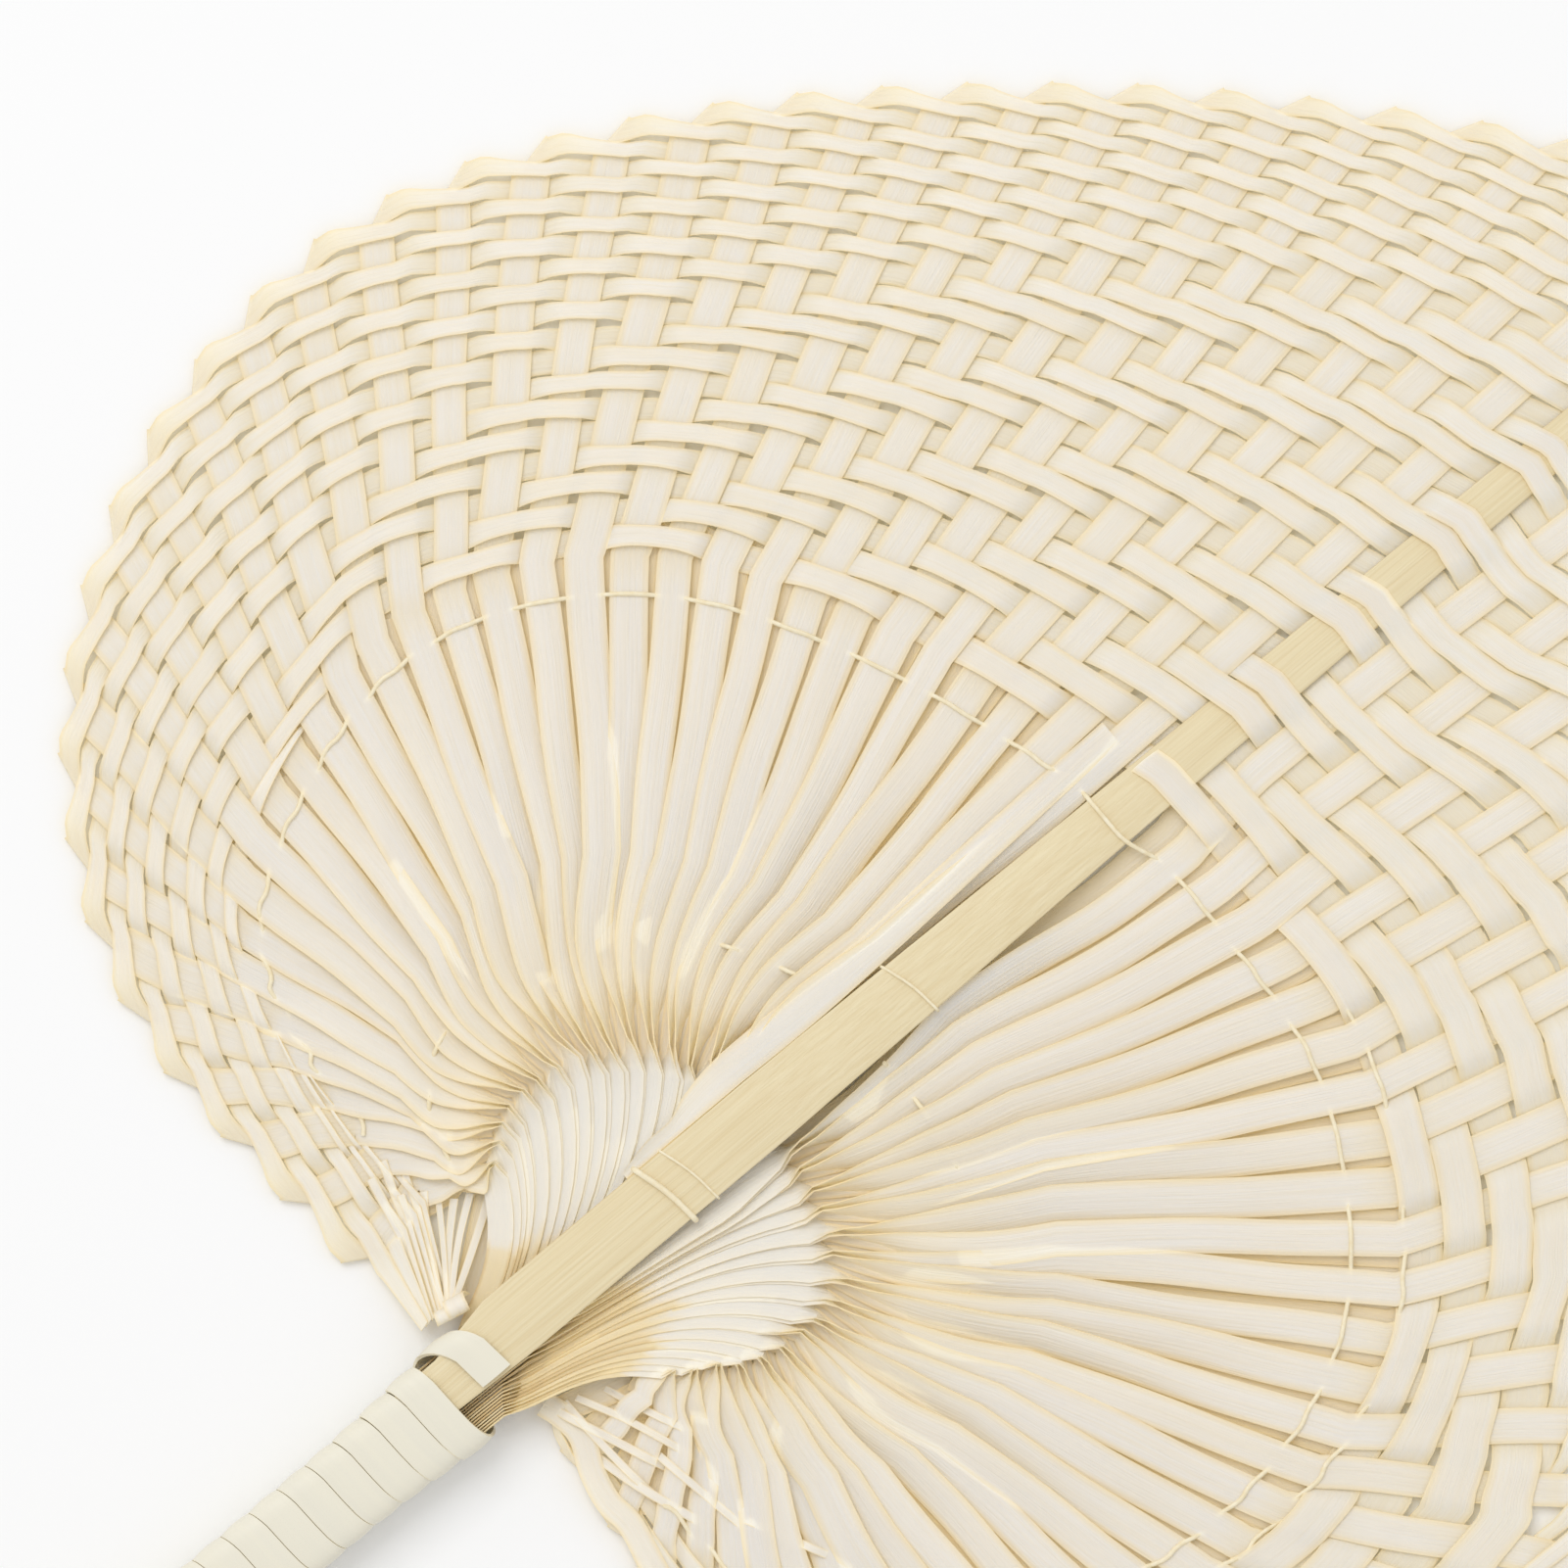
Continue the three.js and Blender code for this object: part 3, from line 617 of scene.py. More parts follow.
def strip_level(strip, zone):
    """Rise of a strip over the rows that pass under it, and its fall under the others."""
    slot = STRIP_SLOT[strip]
    rows = [row for row in range(-STARTERS, strip) if crosses(row, strip)]
    if not rows:
        return np.zeros(len(zone))
    places = [1 - np.mean(row_depths(row, slot)) for row in rows]
    levels = [-STRIP_RISE if is_over(row, strip) else STRIP_RISE for row in rows]
    return np.interp(zone - 2, places, levels) * smooth_step(zone, 1.5, 1.95)


def strip_base_height(zone):
    """Height of a strip's middle line in flat pages, on the slope to the band and in the band."""
    slope = PAGE_Z + (BAND_Z - PAGE_Z) * (zone - 1)
    band = RIM_Z + (BAND_Z - RIM_Z) * np.clip(1 - (zone - 2), 0, 1)
    return np.where(zone < 1, PAGE_Z, np.where(zone < 2, slope, band))


def strip_shade(zone, level, foot, neck):
    """Shade along a strip: golden butt, white page, painted golden shade at the neck fading into the open
    leaf, and painted golden shade under the rows.
    """
    base = 1 - smooth_step(zone, foot - 0.03, foot + 0.03) * (2 - smooth_step(zone, neck - 0.1, neck))
    # Painted golden shade at the neck
    painted_neck_shade = smooth_step(zone, neck - 0.04, neck + 0.02) * (1 - smooth_step(zone, neck + 0.05, neck + 0.4))
    # Painted golden shade where the strip passes under rows
    painted_crossing_shade = np.clip(0.5 - level / STRIP_RISE / 2, 0, 1) * smooth_step(zone, 1.93, 2)
    return base + NECK_PAINTED_SHADE * painted_neck_shade + CROSSING_PAINTED_SHADE * painted_crossing_shade


def leaf_path(strip, ribbon):
    """A strip from its butt in the handle to the rim: gathered, opened, then through the rows."""
    slot = STRIP_SLOT[strip]
    leaf = leaf_of(strip)
    from_rib = abs(slot - MIDDLE)
    is_left = strip < RIB_STRIP
    is_lower = slot > leaf + 0.5
    wander = chance.normal(0, 1, 4)

    page_slot = leaf + 0.5 + PAGE_SPLIT * (1 if is_lower else -1)
    points, zone, pitch = leaf_course(strip, page_slot)
    neck = NECK_ZONE + 0.02 * leaf_jitter[leaf]
    level = strip_level(strip, zone)
    free = smooth_step(zone, 1.05, 1.3) * (1 - smooth_step(zone, 1.55, 1.85))
    tilt = leaf_tilt(zone, pitch, neck) + free * 0.10 * wander[2]

    height = strip_base_height(zone) + level
    height = height + free * (0.3 * wander[0] + 0.3 * np.sin(5 * zone + 3 * wander[1]))
    height = height - PAGE_STAGGER * is_lower * (1 - smooth_step(zone, neck - 0.11, neck))
    height = height + 0.12 * wander[2] * (1 - smooth_step(zone, 0.3, 0.8))
    height = height + RIB_SIDE_RISE * math.exp(0.5 - from_rib / 1.5) * (1 - smooth_step(zone, 1.05, 1.8))
    mouth_rise = MOUTH_RISE * smooth_step(slot, MIDDLE + 5, MIDDLE + 11)
    height = height + mouth_rise * (1 - smooth_step(zone, 0.05, 0.55))
    height = height - BASE_STAGGER * is_lower * (1 - smooth_step(zone, 0.4, 0.7))

    open_width = OPEN_WIDTH[0 if is_left else 1]
    page_width = np.interp(from_rib, [1, 2.5], [RIB_PAGE_WIDTH, PAGE_WIDTH])
    width = np.interp(zone, *np.transpose([
        (BUTT_ZONE, BUTT_WIDTH), (0, BUTT_WIDTH), (0.7, page_width), (neck - 0.1, PAGE_WIDTH),
        (neck + 0.02, NECK_WIDTH), (1.22, open_width), (1.9, open_width), (2.2, STRIP_WIDTH),
    ]))
    lobe = LOBE_NARROWING * smooth_step(slot, SLOTS - 4, SLOTS - 1) * smooth_step(zone, 1, 1.3)
    width = width * (1 + 0.07 * wander[3]) * (1 - lobe)

    sway = free * 0.8 * np.sin(4.2 * zone + 2 * wander[1])
    sway = sway + 0.3 * smooth_step(zone, 1.9, 2.1) * np.sin(9 * zone + 3 * wander[0])
    neck_bend = NECK_BEND * np.sin(math.pi * np.clip((zone - 1) / 0.4, 0, 1))
    sway = sway - neck_bend if is_left else sway + neck_bend
    if not is_left:
        beside_rib = smooth_step(zone, 1.4, 1.8) * (1 - smooth_step(zone, 1.95, 2.12))
        sway = sway + RIB_GAP * math.exp(0.55 - from_rib) * beside_rib
    sideways = turned_right(unit(np.gradient(points, axis=0)))
    centre = with_z(points + sideways * sway[:, None], height)
    across = with_z(sideways * np.cos(tilt)[:, None], np.sin(tilt)) * (width / 2)[:, None]

    feet = FEET_LEFT if is_left else FEET_RIGHT
    foot = np.interp(from_rib, [0, MIDDLE], feet[::-1]) + 0.02 * wander[1]
    crown = LEAF_CROWN * smooth_step(zone, 1.2, 1.6)
    ribbon.add(centre - across, centre + across, crown=crown, base=strip_shade(zone, level, foot, neck))
    strip_runs[strip] = zone, centre, across


def shade_sheet(strip):
    """A golden sheet laid under an opened strip: painted shade that shows in the gaps beside it."""
    zone, centre, _ = strip_runs[strip]
    kept = (zone > SHADE_SHEET_ZONES[0]) & (zone < SHADE_SHEET_ZONES[1])
    line = centre[kept, :2]
    width = np.interp(zone[kept], [0.95, 1.3, 2], SHADE_SHEET_WIDTHS)
    width = width * (1 + 0.5 * (abs(STRIP_SLOT[strip] - MIDDLE) < 1))
    half = turned_right(unit(np.gradient(line, axis=0))) * (width / 2)[:, None]
    z = np.interp(zone[kept], [1.15, 1.6], SHADE_SHEET_Z) - SHADE_SHEET_STEP * (strip % 2)
    return one_run(with_z(line - half, z), with_z(line + half, z), golden=1)


def rim_fold(strip, ribbon):
    """The strip turned over at the rim, along a slanting crease."""
    slot = STRIP_SLOT[strip]
    left = band_point(slot + CREASE_START, row_depths(strip, slot + CREASE_END)[1])
    right = band_point(slot + CREASE_END, -RIM_TOOTH / np.interp(slot, SLOT_GRID, band_lengths))
    crease = unit(right - left)
    outward = np.array([-crease[1], crease[0]])
    for angle in np.radians([-80, -40, 0, 40, 80]):
        swing = with_z(outward * math.cos(angle), math.sin(angle))
        shift = swing * FOLD_RADIUS + (0, 0, RIM_Z)
        edges = [with_z(point, 0.0) + shift for point in (left, right)]
        ribbon.add(edges[0][None], edges[1][None], up=-swing[None], base=RIM_YELLOW)


def row_middle(row, position):
    outer, inner = row_depths(row, position)
    return band_point(position, (outer + inner) / 2)


def row_level(row, position, crossed):
    """Height of a row above the band's middle, over or under each strip that it crosses."""
    places, levels = [position[0]], [0.75 * ROW_RISE]
    for strip in crossed:
        here = STRIP_SLOT[strip]
        slot_length = np.linalg.norm(row_middle(row, here + 0.1) - row_middle(row, here - 0.1)) / 0.2
        if strip == RIB_STRIP:
            half = min(RIB_CROSSING / slot_length, 0.36)
            level = RIB_OVER_RISE if is_over(row, strip) else RIB_UNDER_RISE
        else:
            half = min(STRIP_CROSSING / slot_length, 0.22)
            level = ROW_RISE if is_over(row, strip) else -ROW_RISE
        level = level * (1 + 0.12 * chance.normal())
        places += [max(here - half, places[-1] + 0.01), max(here + half, places[-1] + 0.02)]
        levels += [level, level]
    return eased(position, np.array(places), np.array(levels))


def lead_in(ribbon, knot, left, right):
    """The start of a row at the knot."""
    share = np.array([0, 0.3, 0.6, 0.85])[:, None]
    half = (right - left) / 2
    middle = knot + ((left + right) / 2 - knot) * share
    ribbon.add(middle - half * (0.5 + 0.4 * share), middle + half * (0.5 + 0.4 * share), crown=-0.05)


def row_path(row, ribbon):
    """A row round the band, over and under the strips that it crosses, with its end under a strip."""
    crossed = [strip for strip in range(max(row, -1) + 1, STRIPS) if crosses(row, strip)]
    while len(crossed) > 1 and is_over(row, crossed[-1]):
        crossed.pop()
    start = STRIP_SLOT[row] + CREASE_END + 0.08 if row >= 0 else 0.12
    end = STRIP_SLOT[crossed[-1]] + 0.12 if crossed else min(start + 0.5, SLOTS)
    coarse = np.linspace(start, end, max(6, int((end - start) / 0.04)))
    lengths = run_lengths(row_middle(row, coarse))
    count = max(4, int(lengths[-1] / SECTION_STEP))
    position = np.interp(np.linspace(0, lengths[-1], count), lengths, coarse)

    level = row_level(row, position, crossed)
    over = np.clip((level + ROW_RISE) / (2 * ROW_RISE), 0, 1)
    bow = np.convolve(np.pad(over, 3, "edge"), np.hanning(9)[1:-1] / 4, "valid")
    lens = np.interp(position, *np.transpose(ROW_LENS)) * bow
    tooth = np.exp((start - position) / TOOTH_SLOTS) * (row >= 0)
    # Painted golden shade where the row dives under strips; the rim's yellow at its fold
    base = np.maximum(CROSSING_PAINTED_SHADE * (1 - over), RIM_YELLOW * tooth)

    outer, inner = row_depths(row, position)
    reach = (inner - outer) * ROW_FILL * (1 + 0.05 * chance.normal())
    drift = 0.06 * np.sin(2.1 * position + chance.uniform(0, 6))
    depth = (outer + inner) / 2 + reach * drift
    height = RIM_Z + (BAND_Z - RIM_Z) * depth + level
    inner_edge = depth + reach / 2 * (1 - lens)
    outer_edge = depth - reach / 2 * (1 + 0.06 * bow)
    outer_edge = outer_edge - tooth * RIM_TOOTH / np.interp(position, SLOT_GRID, band_lengths)
    left = with_z(band_point(position, inner_edge), height + (0.2 + 0.5 * lens) * bow)
    right = with_z(band_point(position, outer_edge), height - 0.12 * bow)
    if row < 0:
        knot = np.array([KNOT_PLACE[0] - 0.8, KNOT_PLACE[1] - 0.85 * (row + STARTERS), PAGE_Z + 0.3 * row])
        lead_in(ribbon, knot, left[0], right[0])
    ribbon.add(left, right, crown=ROW_CROWN, base=base)


def leaf_mesh(name, ribbons, thickness=LEAF_THICKNESS):
    """One piece of closed ribbons, with a map along the leaf and the shades that its material reads."""
    places = np.linspace(-1, 1, 5)
    t = np.concatenate([places, places[::-1]])
    side = np.repeat([1, -1], len(places)) * thickness / 2
    around = len(t)
    ring = np.arange(around)
    flap = np.arange(len(places) - 1)
    cap = np.stack([flap, around - 1 - flap, around - 2 - flap, flap + 1], axis=-1)
    vertices, faces, maps, across_values, tones, bases, painted_under_shades = [], [], [], [], [], [], []
    offset = 0
    for ribbon in ribbons:
        left, right, up, crown, base = ribbon.joined()
        count = len(left)
        middle, half = (left + right) / 2, (right - left) / 2
        lift = crown[:, None] * (1 - t ** 2) + side
        rings = middle[:, None] + half[:, None] * t[None, :, None] + up[:, None] * lift[..., None]
        vertices.append(rings.reshape(-1, 3))
        starts = offset + around * np.arange(count - 1)[:, None]
        here, after = starts + ring, starts + (ring + 1) % around
        faces.append(np.stack([here, after, after + around, here + around], axis=-1).reshape(-1, 4))
        faces.append(offset + cap)
        faces.append(offset + around * (count - 1) + cap[:, ::-1])
        run = run_lengths(middle)
        u = np.linalg.norm(half, axis=1)[:, None] * t + chance.uniform(0, 900)
        v = np.broadcast_to(run[:, None] + chance.uniform(0, 900), u.shape)
        maps.append(np.stack([u, v], axis=-1).reshape(-1, 2) * MM)
        across_values.append(np.tile(t, count))
        tones.append(np.full(around * count, chance.uniform()))
        bases.append(np.repeat(base, around))
        # Painted shade: faces turned sideways get part of the golden under colour, faces turned down and a
        # ribbon's golden share all of it
        painted_under_shades.append(np.clip(ribbon.golden + 0.35 - up[:, 2:] * np.sign(side), 0, 1).ravel())
        offset += around * count
    mesh = bpy.data.meshes.new(name)
    mesh.from_pydata(in_frame(np.vstack(vertices)).tolist(), [], np.vstack(faces).tolist())
    uv = mesh.uv_layers.new(name="along_leaf")
    corner = np.zeros(len(mesh.loops), dtype=np.int32)
    mesh.loops.foreach_get("vertex_index", corner)
    uv.data.foreach_set("uv", np.vstack(maps)[corner].astype(np.float32).ravel())
    for key, values in [("across", across_values), ("tone", tones), ("base", bases), ("under", painted_under_shades)]:
        attribute = mesh.attributes.new(key, "FLOAT", "POINT")
        attribute.data.foreach_set("value", np.concatenate(values).astype(np.float32))
    piece = bpy.data.objects.new(name, mesh)
    bpy.context.collection.objects.link(piece)
    return piece


def let_light_through(tree, shader, colour, share):
    """Thin leaf lit from behind: a share of the light goes in at one face and out at the other."""
    glow = new_node(tree, "BsdfTranslucent", {"Color": colour})
    leaf = new_node(tree, "MixShader", {"Fac": share, 1: shader.outputs["BSDF"], 2: glow.outputs["BSDF"]})
    facing = new_node(tree, "NewGeometry").outputs["Backfacing"]
    clear = new_node(tree, "BsdfTransparent").outputs["BSDF"]
    sides = new_node(tree, "MixShader", {"Fac": facing, 1: leaf.outputs["Shader"], 2: clear})
    tree.links.new(sides.outputs["Shader"], tree.nodes["Material Output"].inputs["Surface"])


def leaf_fibres(tree, per_metre):
    """The fibre group along the leaf."""
    return fibres(tree, new_node(tree, "UVMap", uv_map="along_leaf").outputs["UV"], per_metre)


def shade_of(tree, key):
    """One of the shades that the mesh carries."""
    return new_node(tree, "Attribute", attribute_name=key).outputs["Fac"]


def from_middle(tree):
    """Distance from a strip's middle line, 1 at its edges."""
    return new_node(tree, "Math", {0: shade_of(tree, "across")}, operation="ABSOLUTE").outputs[0]


def leaf_finish():
    """Bleached palm leaf: cream, finely ribbed along its length and yellower at its base. Its golden edges
    are partly its own colour and partly painted shade; painted golden shade lies on faces turned down, at
    the necks and under crossings, and painted shade lines lie between the gathered pages.
    """
    material, tree, shader = new_finish("palm_leaf", 0.55)
    streaks = leaf_fibres(tree, LEAF_FIBRES_PER_METRE)
    bands, fine = streaks["Bands"], streaks["Fine"]
    edge = from_middle(tree)
    tone, base, under = [shade_of(tree, key) for key in ("tone", "base", "under")]
    colour = LEAF_COLOUR
    for amount, layer_colour in [
        (scaled(tree, bands, 0.2, 1, 0, 0.5), LEAF_STREAK_COLOUR),
        (scaled(tree, fine, 0.4, 1, 0, 0.55), LEAF_STREAK_COLOUR),
        (scaled(tree, tone, 0.4, 1, 0, 0.35), LEAF_STREAK_COLOUR),
        # Golden edges, partly the leaf's own colour and partly painted shade
        (scaled(tree, edge, 0.6, 1, 0, 0.6), LEAF_EDGE_GOLD_AND_SHADE_COLOUR),
        (scaled(tree, base, 0, -1, 0, 0.8), PAGE_COLOUR),
        # Painted golden shade on faces turned down or sideways and on the shade sheets
        (scaled(tree, under, 0, 1, 0, 0.85), PAINTED_UNDER_SHADE_COLOUR),
        # The butts' own gold, together with the painted golden shade at necks and crossings that the base
        # shade carries
        (scaled(tree, base, 0, 1, 0, 0.8), BUTT_GOLD_AND_PAINTED_SHADE_COLOUR),
    ]:
        colour = blend_colour(tree, amount, colour, layer_colour)
    # Painted shade: dark lines at the edges of the gathered pages in the butts, stronger on some pages than
    # others
    painted_page_gap_shade = scaled(tree, edge, 0.7, 1, 0, 0.75)
    for limit in (scaled(tree, base, 0.4, 1), scaled(tree, tone, 0.5, 0.7, 0.15, 1)):
        painted_page_gap_shade = new_node(tree, "Math", {0: painted_page_gap_shade, 1: limit}, operation="MULTIPLY").outputs[0]
    colour = blend_colour(tree, painted_page_gap_shade, colour, PAINTED_PAGE_GAP_SHADE_COLOUR)
    tree.links.new(colour, shader.inputs["Base Color"])
    tree.links.new(scaled(tree, fine, 0, 1, 0.48, 0.64), shader.inputs["Roughness"])
    raised(tree, shader, fine, 0.4, 0.0002)
    let_light_through(tree, shader, LEAF_GLOW_COLOUR, LEAF_GLOW_SHARE)
    return material


def smooth_leaf(*pieces):
    """Smooths the faces of leaf pieces and keeps the strips' edges sharp."""
    select_only(*pieces)
    bpy.ops.object.shade_smooth_by_angle(angle=LEAF_SMOOTH_ANGLE)


palm_leaf = leaf_finish()
leaflets = []
for leaf in range(SLOTS):
    if leaf == LEAFLETS_PER_SIDE:
        continue
    side = "left" if leaf < LEAFLETS_PER_SIDE else "right"
    number = leaf + 1 if leaf < LEAFLETS_PER_SIDE else SLOTS - leaf
    ribbons = []
    for strip in range(STRIPS):
        if strip != RIB_STRIP and leaf_of(strip) == leaf:
            ribbon = Ribbon()
            leaf_path(strip, ribbon)
            rim_fold(strip, ribbon)
            row_path(strip, ribbon)
            # Each strip gets a golden shade sheet under it: painted shade for the gaps
            ribbons += [ribbon, shade_sheet(strip)]
    piece = leaf_mesh(f"leaf_{side}_{number:02d}", ribbons)
    piece.data.materials.append(palm_leaf)
    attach(piece, "root")
    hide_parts(f"leaflet_{side}_{number:02d}")
    leaflets.append(piece)

smooth_leaf(*leaflets)

# Threads: thin pale fibres drawn round the blade over and under the strips. One lies just inside the
# plaited band, with a short second line on the right, and one crosses the pleats on each side of the rib.
THREAD_RADIUS = 0.38
THREAD_LIFT = 0.46
OUTER_THREAD_ZONE = 1.92
SECOND_LINE_ZONE = 2.02
SECOND_LINE_STRIPS = range(RIB_STRIP + 5, STRIPS - 10)
INNER_THREAD_ZONE = 1.25
INNER_THREAD_SHOWN_Z = 0.3
INNER_THREAD_HIDDEN_Z = -2.2
LEFT_STRIPS = range(2, RIB_STRIP)
RIGHT_STRIPS = range(RIB_STRIP + 1, STRIPS - 2)
THREAD_COLOUR = (0.84, 0.72, 0.47, 1)
WORN_THREAD_COLOUR = (0.90, 0.82, 0.62, 1)


def run_at(strip, zone):
    """Middle and half width of a strip at a place on its way to the rim."""
    zones, centre, across = strip_runs[strip]
    return [
        np.array([np.interp(zone, zones, line[:, axis]) for axis in range(3)])
        for line in (centre, across)
    ]


def thread_piece(name, points, radius):
    """Smooth round thread through points, as a mesh."""
    curve = bpy.data.curves.new(name, "CURVE")
    curve.dimensions = "3D"
    curve.bevel_depth = radius * MM
    curve.bevel_resolution = 2
    curve.resolution_u = 4
    curve.use_fill_caps = True
    line = curve.splines.new("NURBS")
    line.points.add(len(points) - 1)
    places = in_frame(points)
    line.points.foreach_set("co", np.column_stack([places, np.ones(len(places))]).ravel())
    line.order_u = 3
    line.use_endpoint_u = True
    piece = bpy.data.objects.new(name, curve)
    bpy.context.collection.objects.link(piece)
    select_only(piece)
    bpy.ops.object.convert(target="MESH")
    piece = bpy.context.object
    bpy.ops.object.shade_smooth()
    return piece


def thread_finish():
    """Dry plant fibre, lighter where it is worn."""
    material, tree, shader = new_finish("plant_thread", 0.6)
    place = new_node(tree, "TexCoord").outputs["Object"]
    speckle = new_node(tree, "TexNoise", {"Vector": place, "Scale": 900, "Detail": 3}).outputs["Fac"]
    colour = blend_colour(tree, scaled(tree, speckle, 0.3, 0.7), THREAD_COLOUR, WORN_THREAD_COLOUR)
    tree.links.new(colour, shader.inputs["Base Color"])
    raised(tree, shader, speckle, 0.3, 0.0001)
    return material


plant_thread = thread_finish()


def joined_threads(first, *others):
    """Joins threads into the first one."""
    select_only(first, *others)
    bpy.ops.object.join()
    return first


def placed_thread(piece, node):
    """Gives a thread its finish and its place among the nodes."""
    piece.data.materials.append(plant_thread)
    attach(piece, "root")
    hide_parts(node)


def rib_top(y):
    return np.interp(y, [RIB_DESCENT_Y, BAND_MIDDLE_Y], [RIB_TOP_Z, BAND_RIB_TOP_Z])


def laid_points(strips, zone, over):
    """Points of a thread over the even strips and under the odd ones, or the other way where over is 1."""
    points = []
    for strip in strips:
        middle, half = run_at(strip, zone)
        lift = THREAD_LIFT if strip % 2 == over else -THREAD_LIFT
        points += [middle + half * side + (0, 0, lift) for side in (-0.5, 0.5)]
    return points


outer_points = laid_points(LEFT_STRIPS, OUTER_THREAD_ZONE, 0)
rib_y = outer_points[-1][1]
outer_points += [(x, rib_y, rib_top(rib_y) + THREAD_RADIUS) for x in (-4.4, 0, 4.4)]
outer_points += laid_points(RIGHT_STRIPS, OUTER_THREAD_ZONE, 0)
outer_fibre = thread_piece("outer_fibre", outer_points, THREAD_RADIUS)
second_points = laid_points(SECOND_LINE_STRIPS, SECOND_LINE_ZONE, 1)
second_fibre = thread_piece("second_fibre", second_points, THREAD_RADIUS)
placed_thread(joined_threads(outer_fibre, second_fibre), "outer_thread")

for side, strips in [("left", LEFT_STRIPS), ("right", RIGHT_STRIPS)]:
    inner_points = []
    for strip in strips:
        middle, half = run_at(strip, INNER_THREAD_ZONE)
        raised_edge = middle + half * np.sign(half[2])
        shows = strip % 3 == 0 and (abs(strip - RIB_STRIP) < 8 or strip < 10)
        inner_points.append(raised_edge + (0, 0, INNER_THREAD_SHOWN_Z if shows else INNER_THREAD_HIDDEN_Z))
    placed_thread(thread_piece(f"inner_fibre_{side}", inner_points, THREAD_RADIUS), f"inner_thread_{side}")

# Rib tie: a short pale fibre tied across the rib, its ends turned down past both edges, with a finer second
# turn beside it and another further up.
TIE_Y = 45
TIE_RADIUS = 0.5
TIE_SLANT = 1.2
TIE_BOW = 0.7
SECOND_TURN_Y = TIE_Y + 5
SECOND_TURN_RADIUS = 0.22
FAR_TURN_Y = 96
FAR_TURN_RADIUS = 0.26


def rib_half_width(y):
    return np.interp(y, [RIB_DESCENT_Y, BAND_MIDDLE_Y], [RIB_WIDTH, RIB_BAND_WIDTH]) / 2


def tie_points(y, radius, drop):
    """Points of a turn over the rib, with its ends some way down past the rib's edges."""
    half = rib_half_width(y) + radius
    top = rib_top(y) + radius
    slant = TIE_SLANT / half
    route = [(-half - 0.1, top - drop), (-half, top - 0.5), (-half + 0.5, top), (0, top + 0.05)]
    route += [(half - 0.5, top), (half, top - 0.5), (half + 0.1, top - drop)]
    return [(x, y + slant * x + TIE_BOW * (1 - (x / half) ** 2), z) for x, z in route]


tie = thread_piece("rib_tie_turn", tie_points(TIE_Y, TIE_RADIUS, 2.2), TIE_RADIUS)
second_points = tie_points(SECOND_TURN_Y, SECOND_TURN_RADIUS, 1.6)
second_turn = thread_piece("second_turn", second_points, SECOND_TURN_RADIUS)
far_turn = thread_piece("far_turn", tie_points(FAR_TURN_Y, FAR_TURN_RADIUS, 1.2), FAR_TURN_RADIUS)
placed_thread(joined_threads(tie, second_turn, far_turn), "rib_tie")

# Lobe knot: strip ends of the left lobe, gathered beside the leaflet butts and held by a folded strip of
# white leaf. They run out from it as the first rows of the plait.
KNOT_STRIP_START = np.array([KNOT_PLACE[0] - 0.5, KNOT_PLACE[1] + 0.5, 4.6])
KNOT_STRIP_STEP = np.array([0, -0.4, -0.25])
KNOT_WIDTH = 3.6
KNOT_TURNS = 1.6

# Narrow strips from the knot to the first rows: end place and end width
KNOT_STRIPS = [
    ((-18.5, 24), 1.5), ((-20, 21), 1.3), ((-21, 18.5), 1.4), ((-23, 16.8), 1.1), ((-25, 15.5), 1.4),
    ((-29, 15), 1.2), ((-33, 13.6), 1.5), ((-27, 12.4), 1.3), ((-32, 10.4), 1.6),
]


def narrow_strip(start, end, widths, bow, lift=0.0, golden=0.0):
    """A narrow strip from one place to another, bowed a little, with the widths of its ends."""
    start, end = np.array(start, float), np.array(end, float)
    share = np.linspace(0, 1, 20)[:, None]
    line = start + (end - start) * share + np.sin(math.pi * share) * bow
    line[:, 2] += lift
    width = widths[0] + (widths[1] - widths[0]) * share
    half = with_z(turned_right(unit(end[:2] - start[:2])) * width / 2, 0.1)
    return one_run(line - half, line + half, golden)


def knot_loop():
    """The strip wound round the strip ends."""
    turn = np.linspace(0, 2 * math.pi * KNOT_TURNS, 40)
    growth = 1 + 0.06 * turn
    outward = np.stack([np.cos(turn + 0.6), np.zeros(len(turn)), np.sin(turn + 0.6)], axis=-1)
    line = np.stack([
        KNOT_PLACE[0] + growth * outward[:, 0],
        KNOT_PLACE[1] - 1.5 + 0.35 * turn,
        PAGE_Z + 2.4 + 1.5 * growth * outward[:, 2],
    ], axis=-1)
    slope = np.array([0.4, KNOT_WIDTH / 2, 0.1])
    return one_run(line + slope, line - slope, up=-outward)


knot_ribbons = []
for row in range(-STARTERS, 0):
    ribbon = Ribbon()
    row_path(row, ribbon)
    knot_ribbons.append(ribbon)
for number, (place, width) in enumerate(KNOT_STRIPS):
    start = KNOT_STRIP_START + number * KNOT_STRIP_STEP
    bow = chance.normal(0, 0.5, 3) * (1, 1, 0.2) - (0, 0, 0.8)
    knot_ribbons.append(narrow_strip(start, (*place, 1.9 + 0.12 * number), (0.7 * width, width), bow))
# Painted shade: a golden sheet beneath the knot's strips, a shade in the gaps between them
knot_ribbons.append(narrow_strip((-7, 9, 1.2), (-20, 27, 1.2), (4, 6), (0, 0, 0), golden=1))
knot_ribbons.append(knot_loop())
knot = leaf_mesh("lobe_knot_strips", knot_ribbons)
knot.data.materials.append(palm_leaf)
smooth_leaf(knot)
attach(knot, "root")
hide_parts("lobe_knot")

# Tail strips: narrow ends of the last rows on the right, trimmed short and tucked under the leaflets beside
# the handle. One wider strip runs along the rim there and binds them.

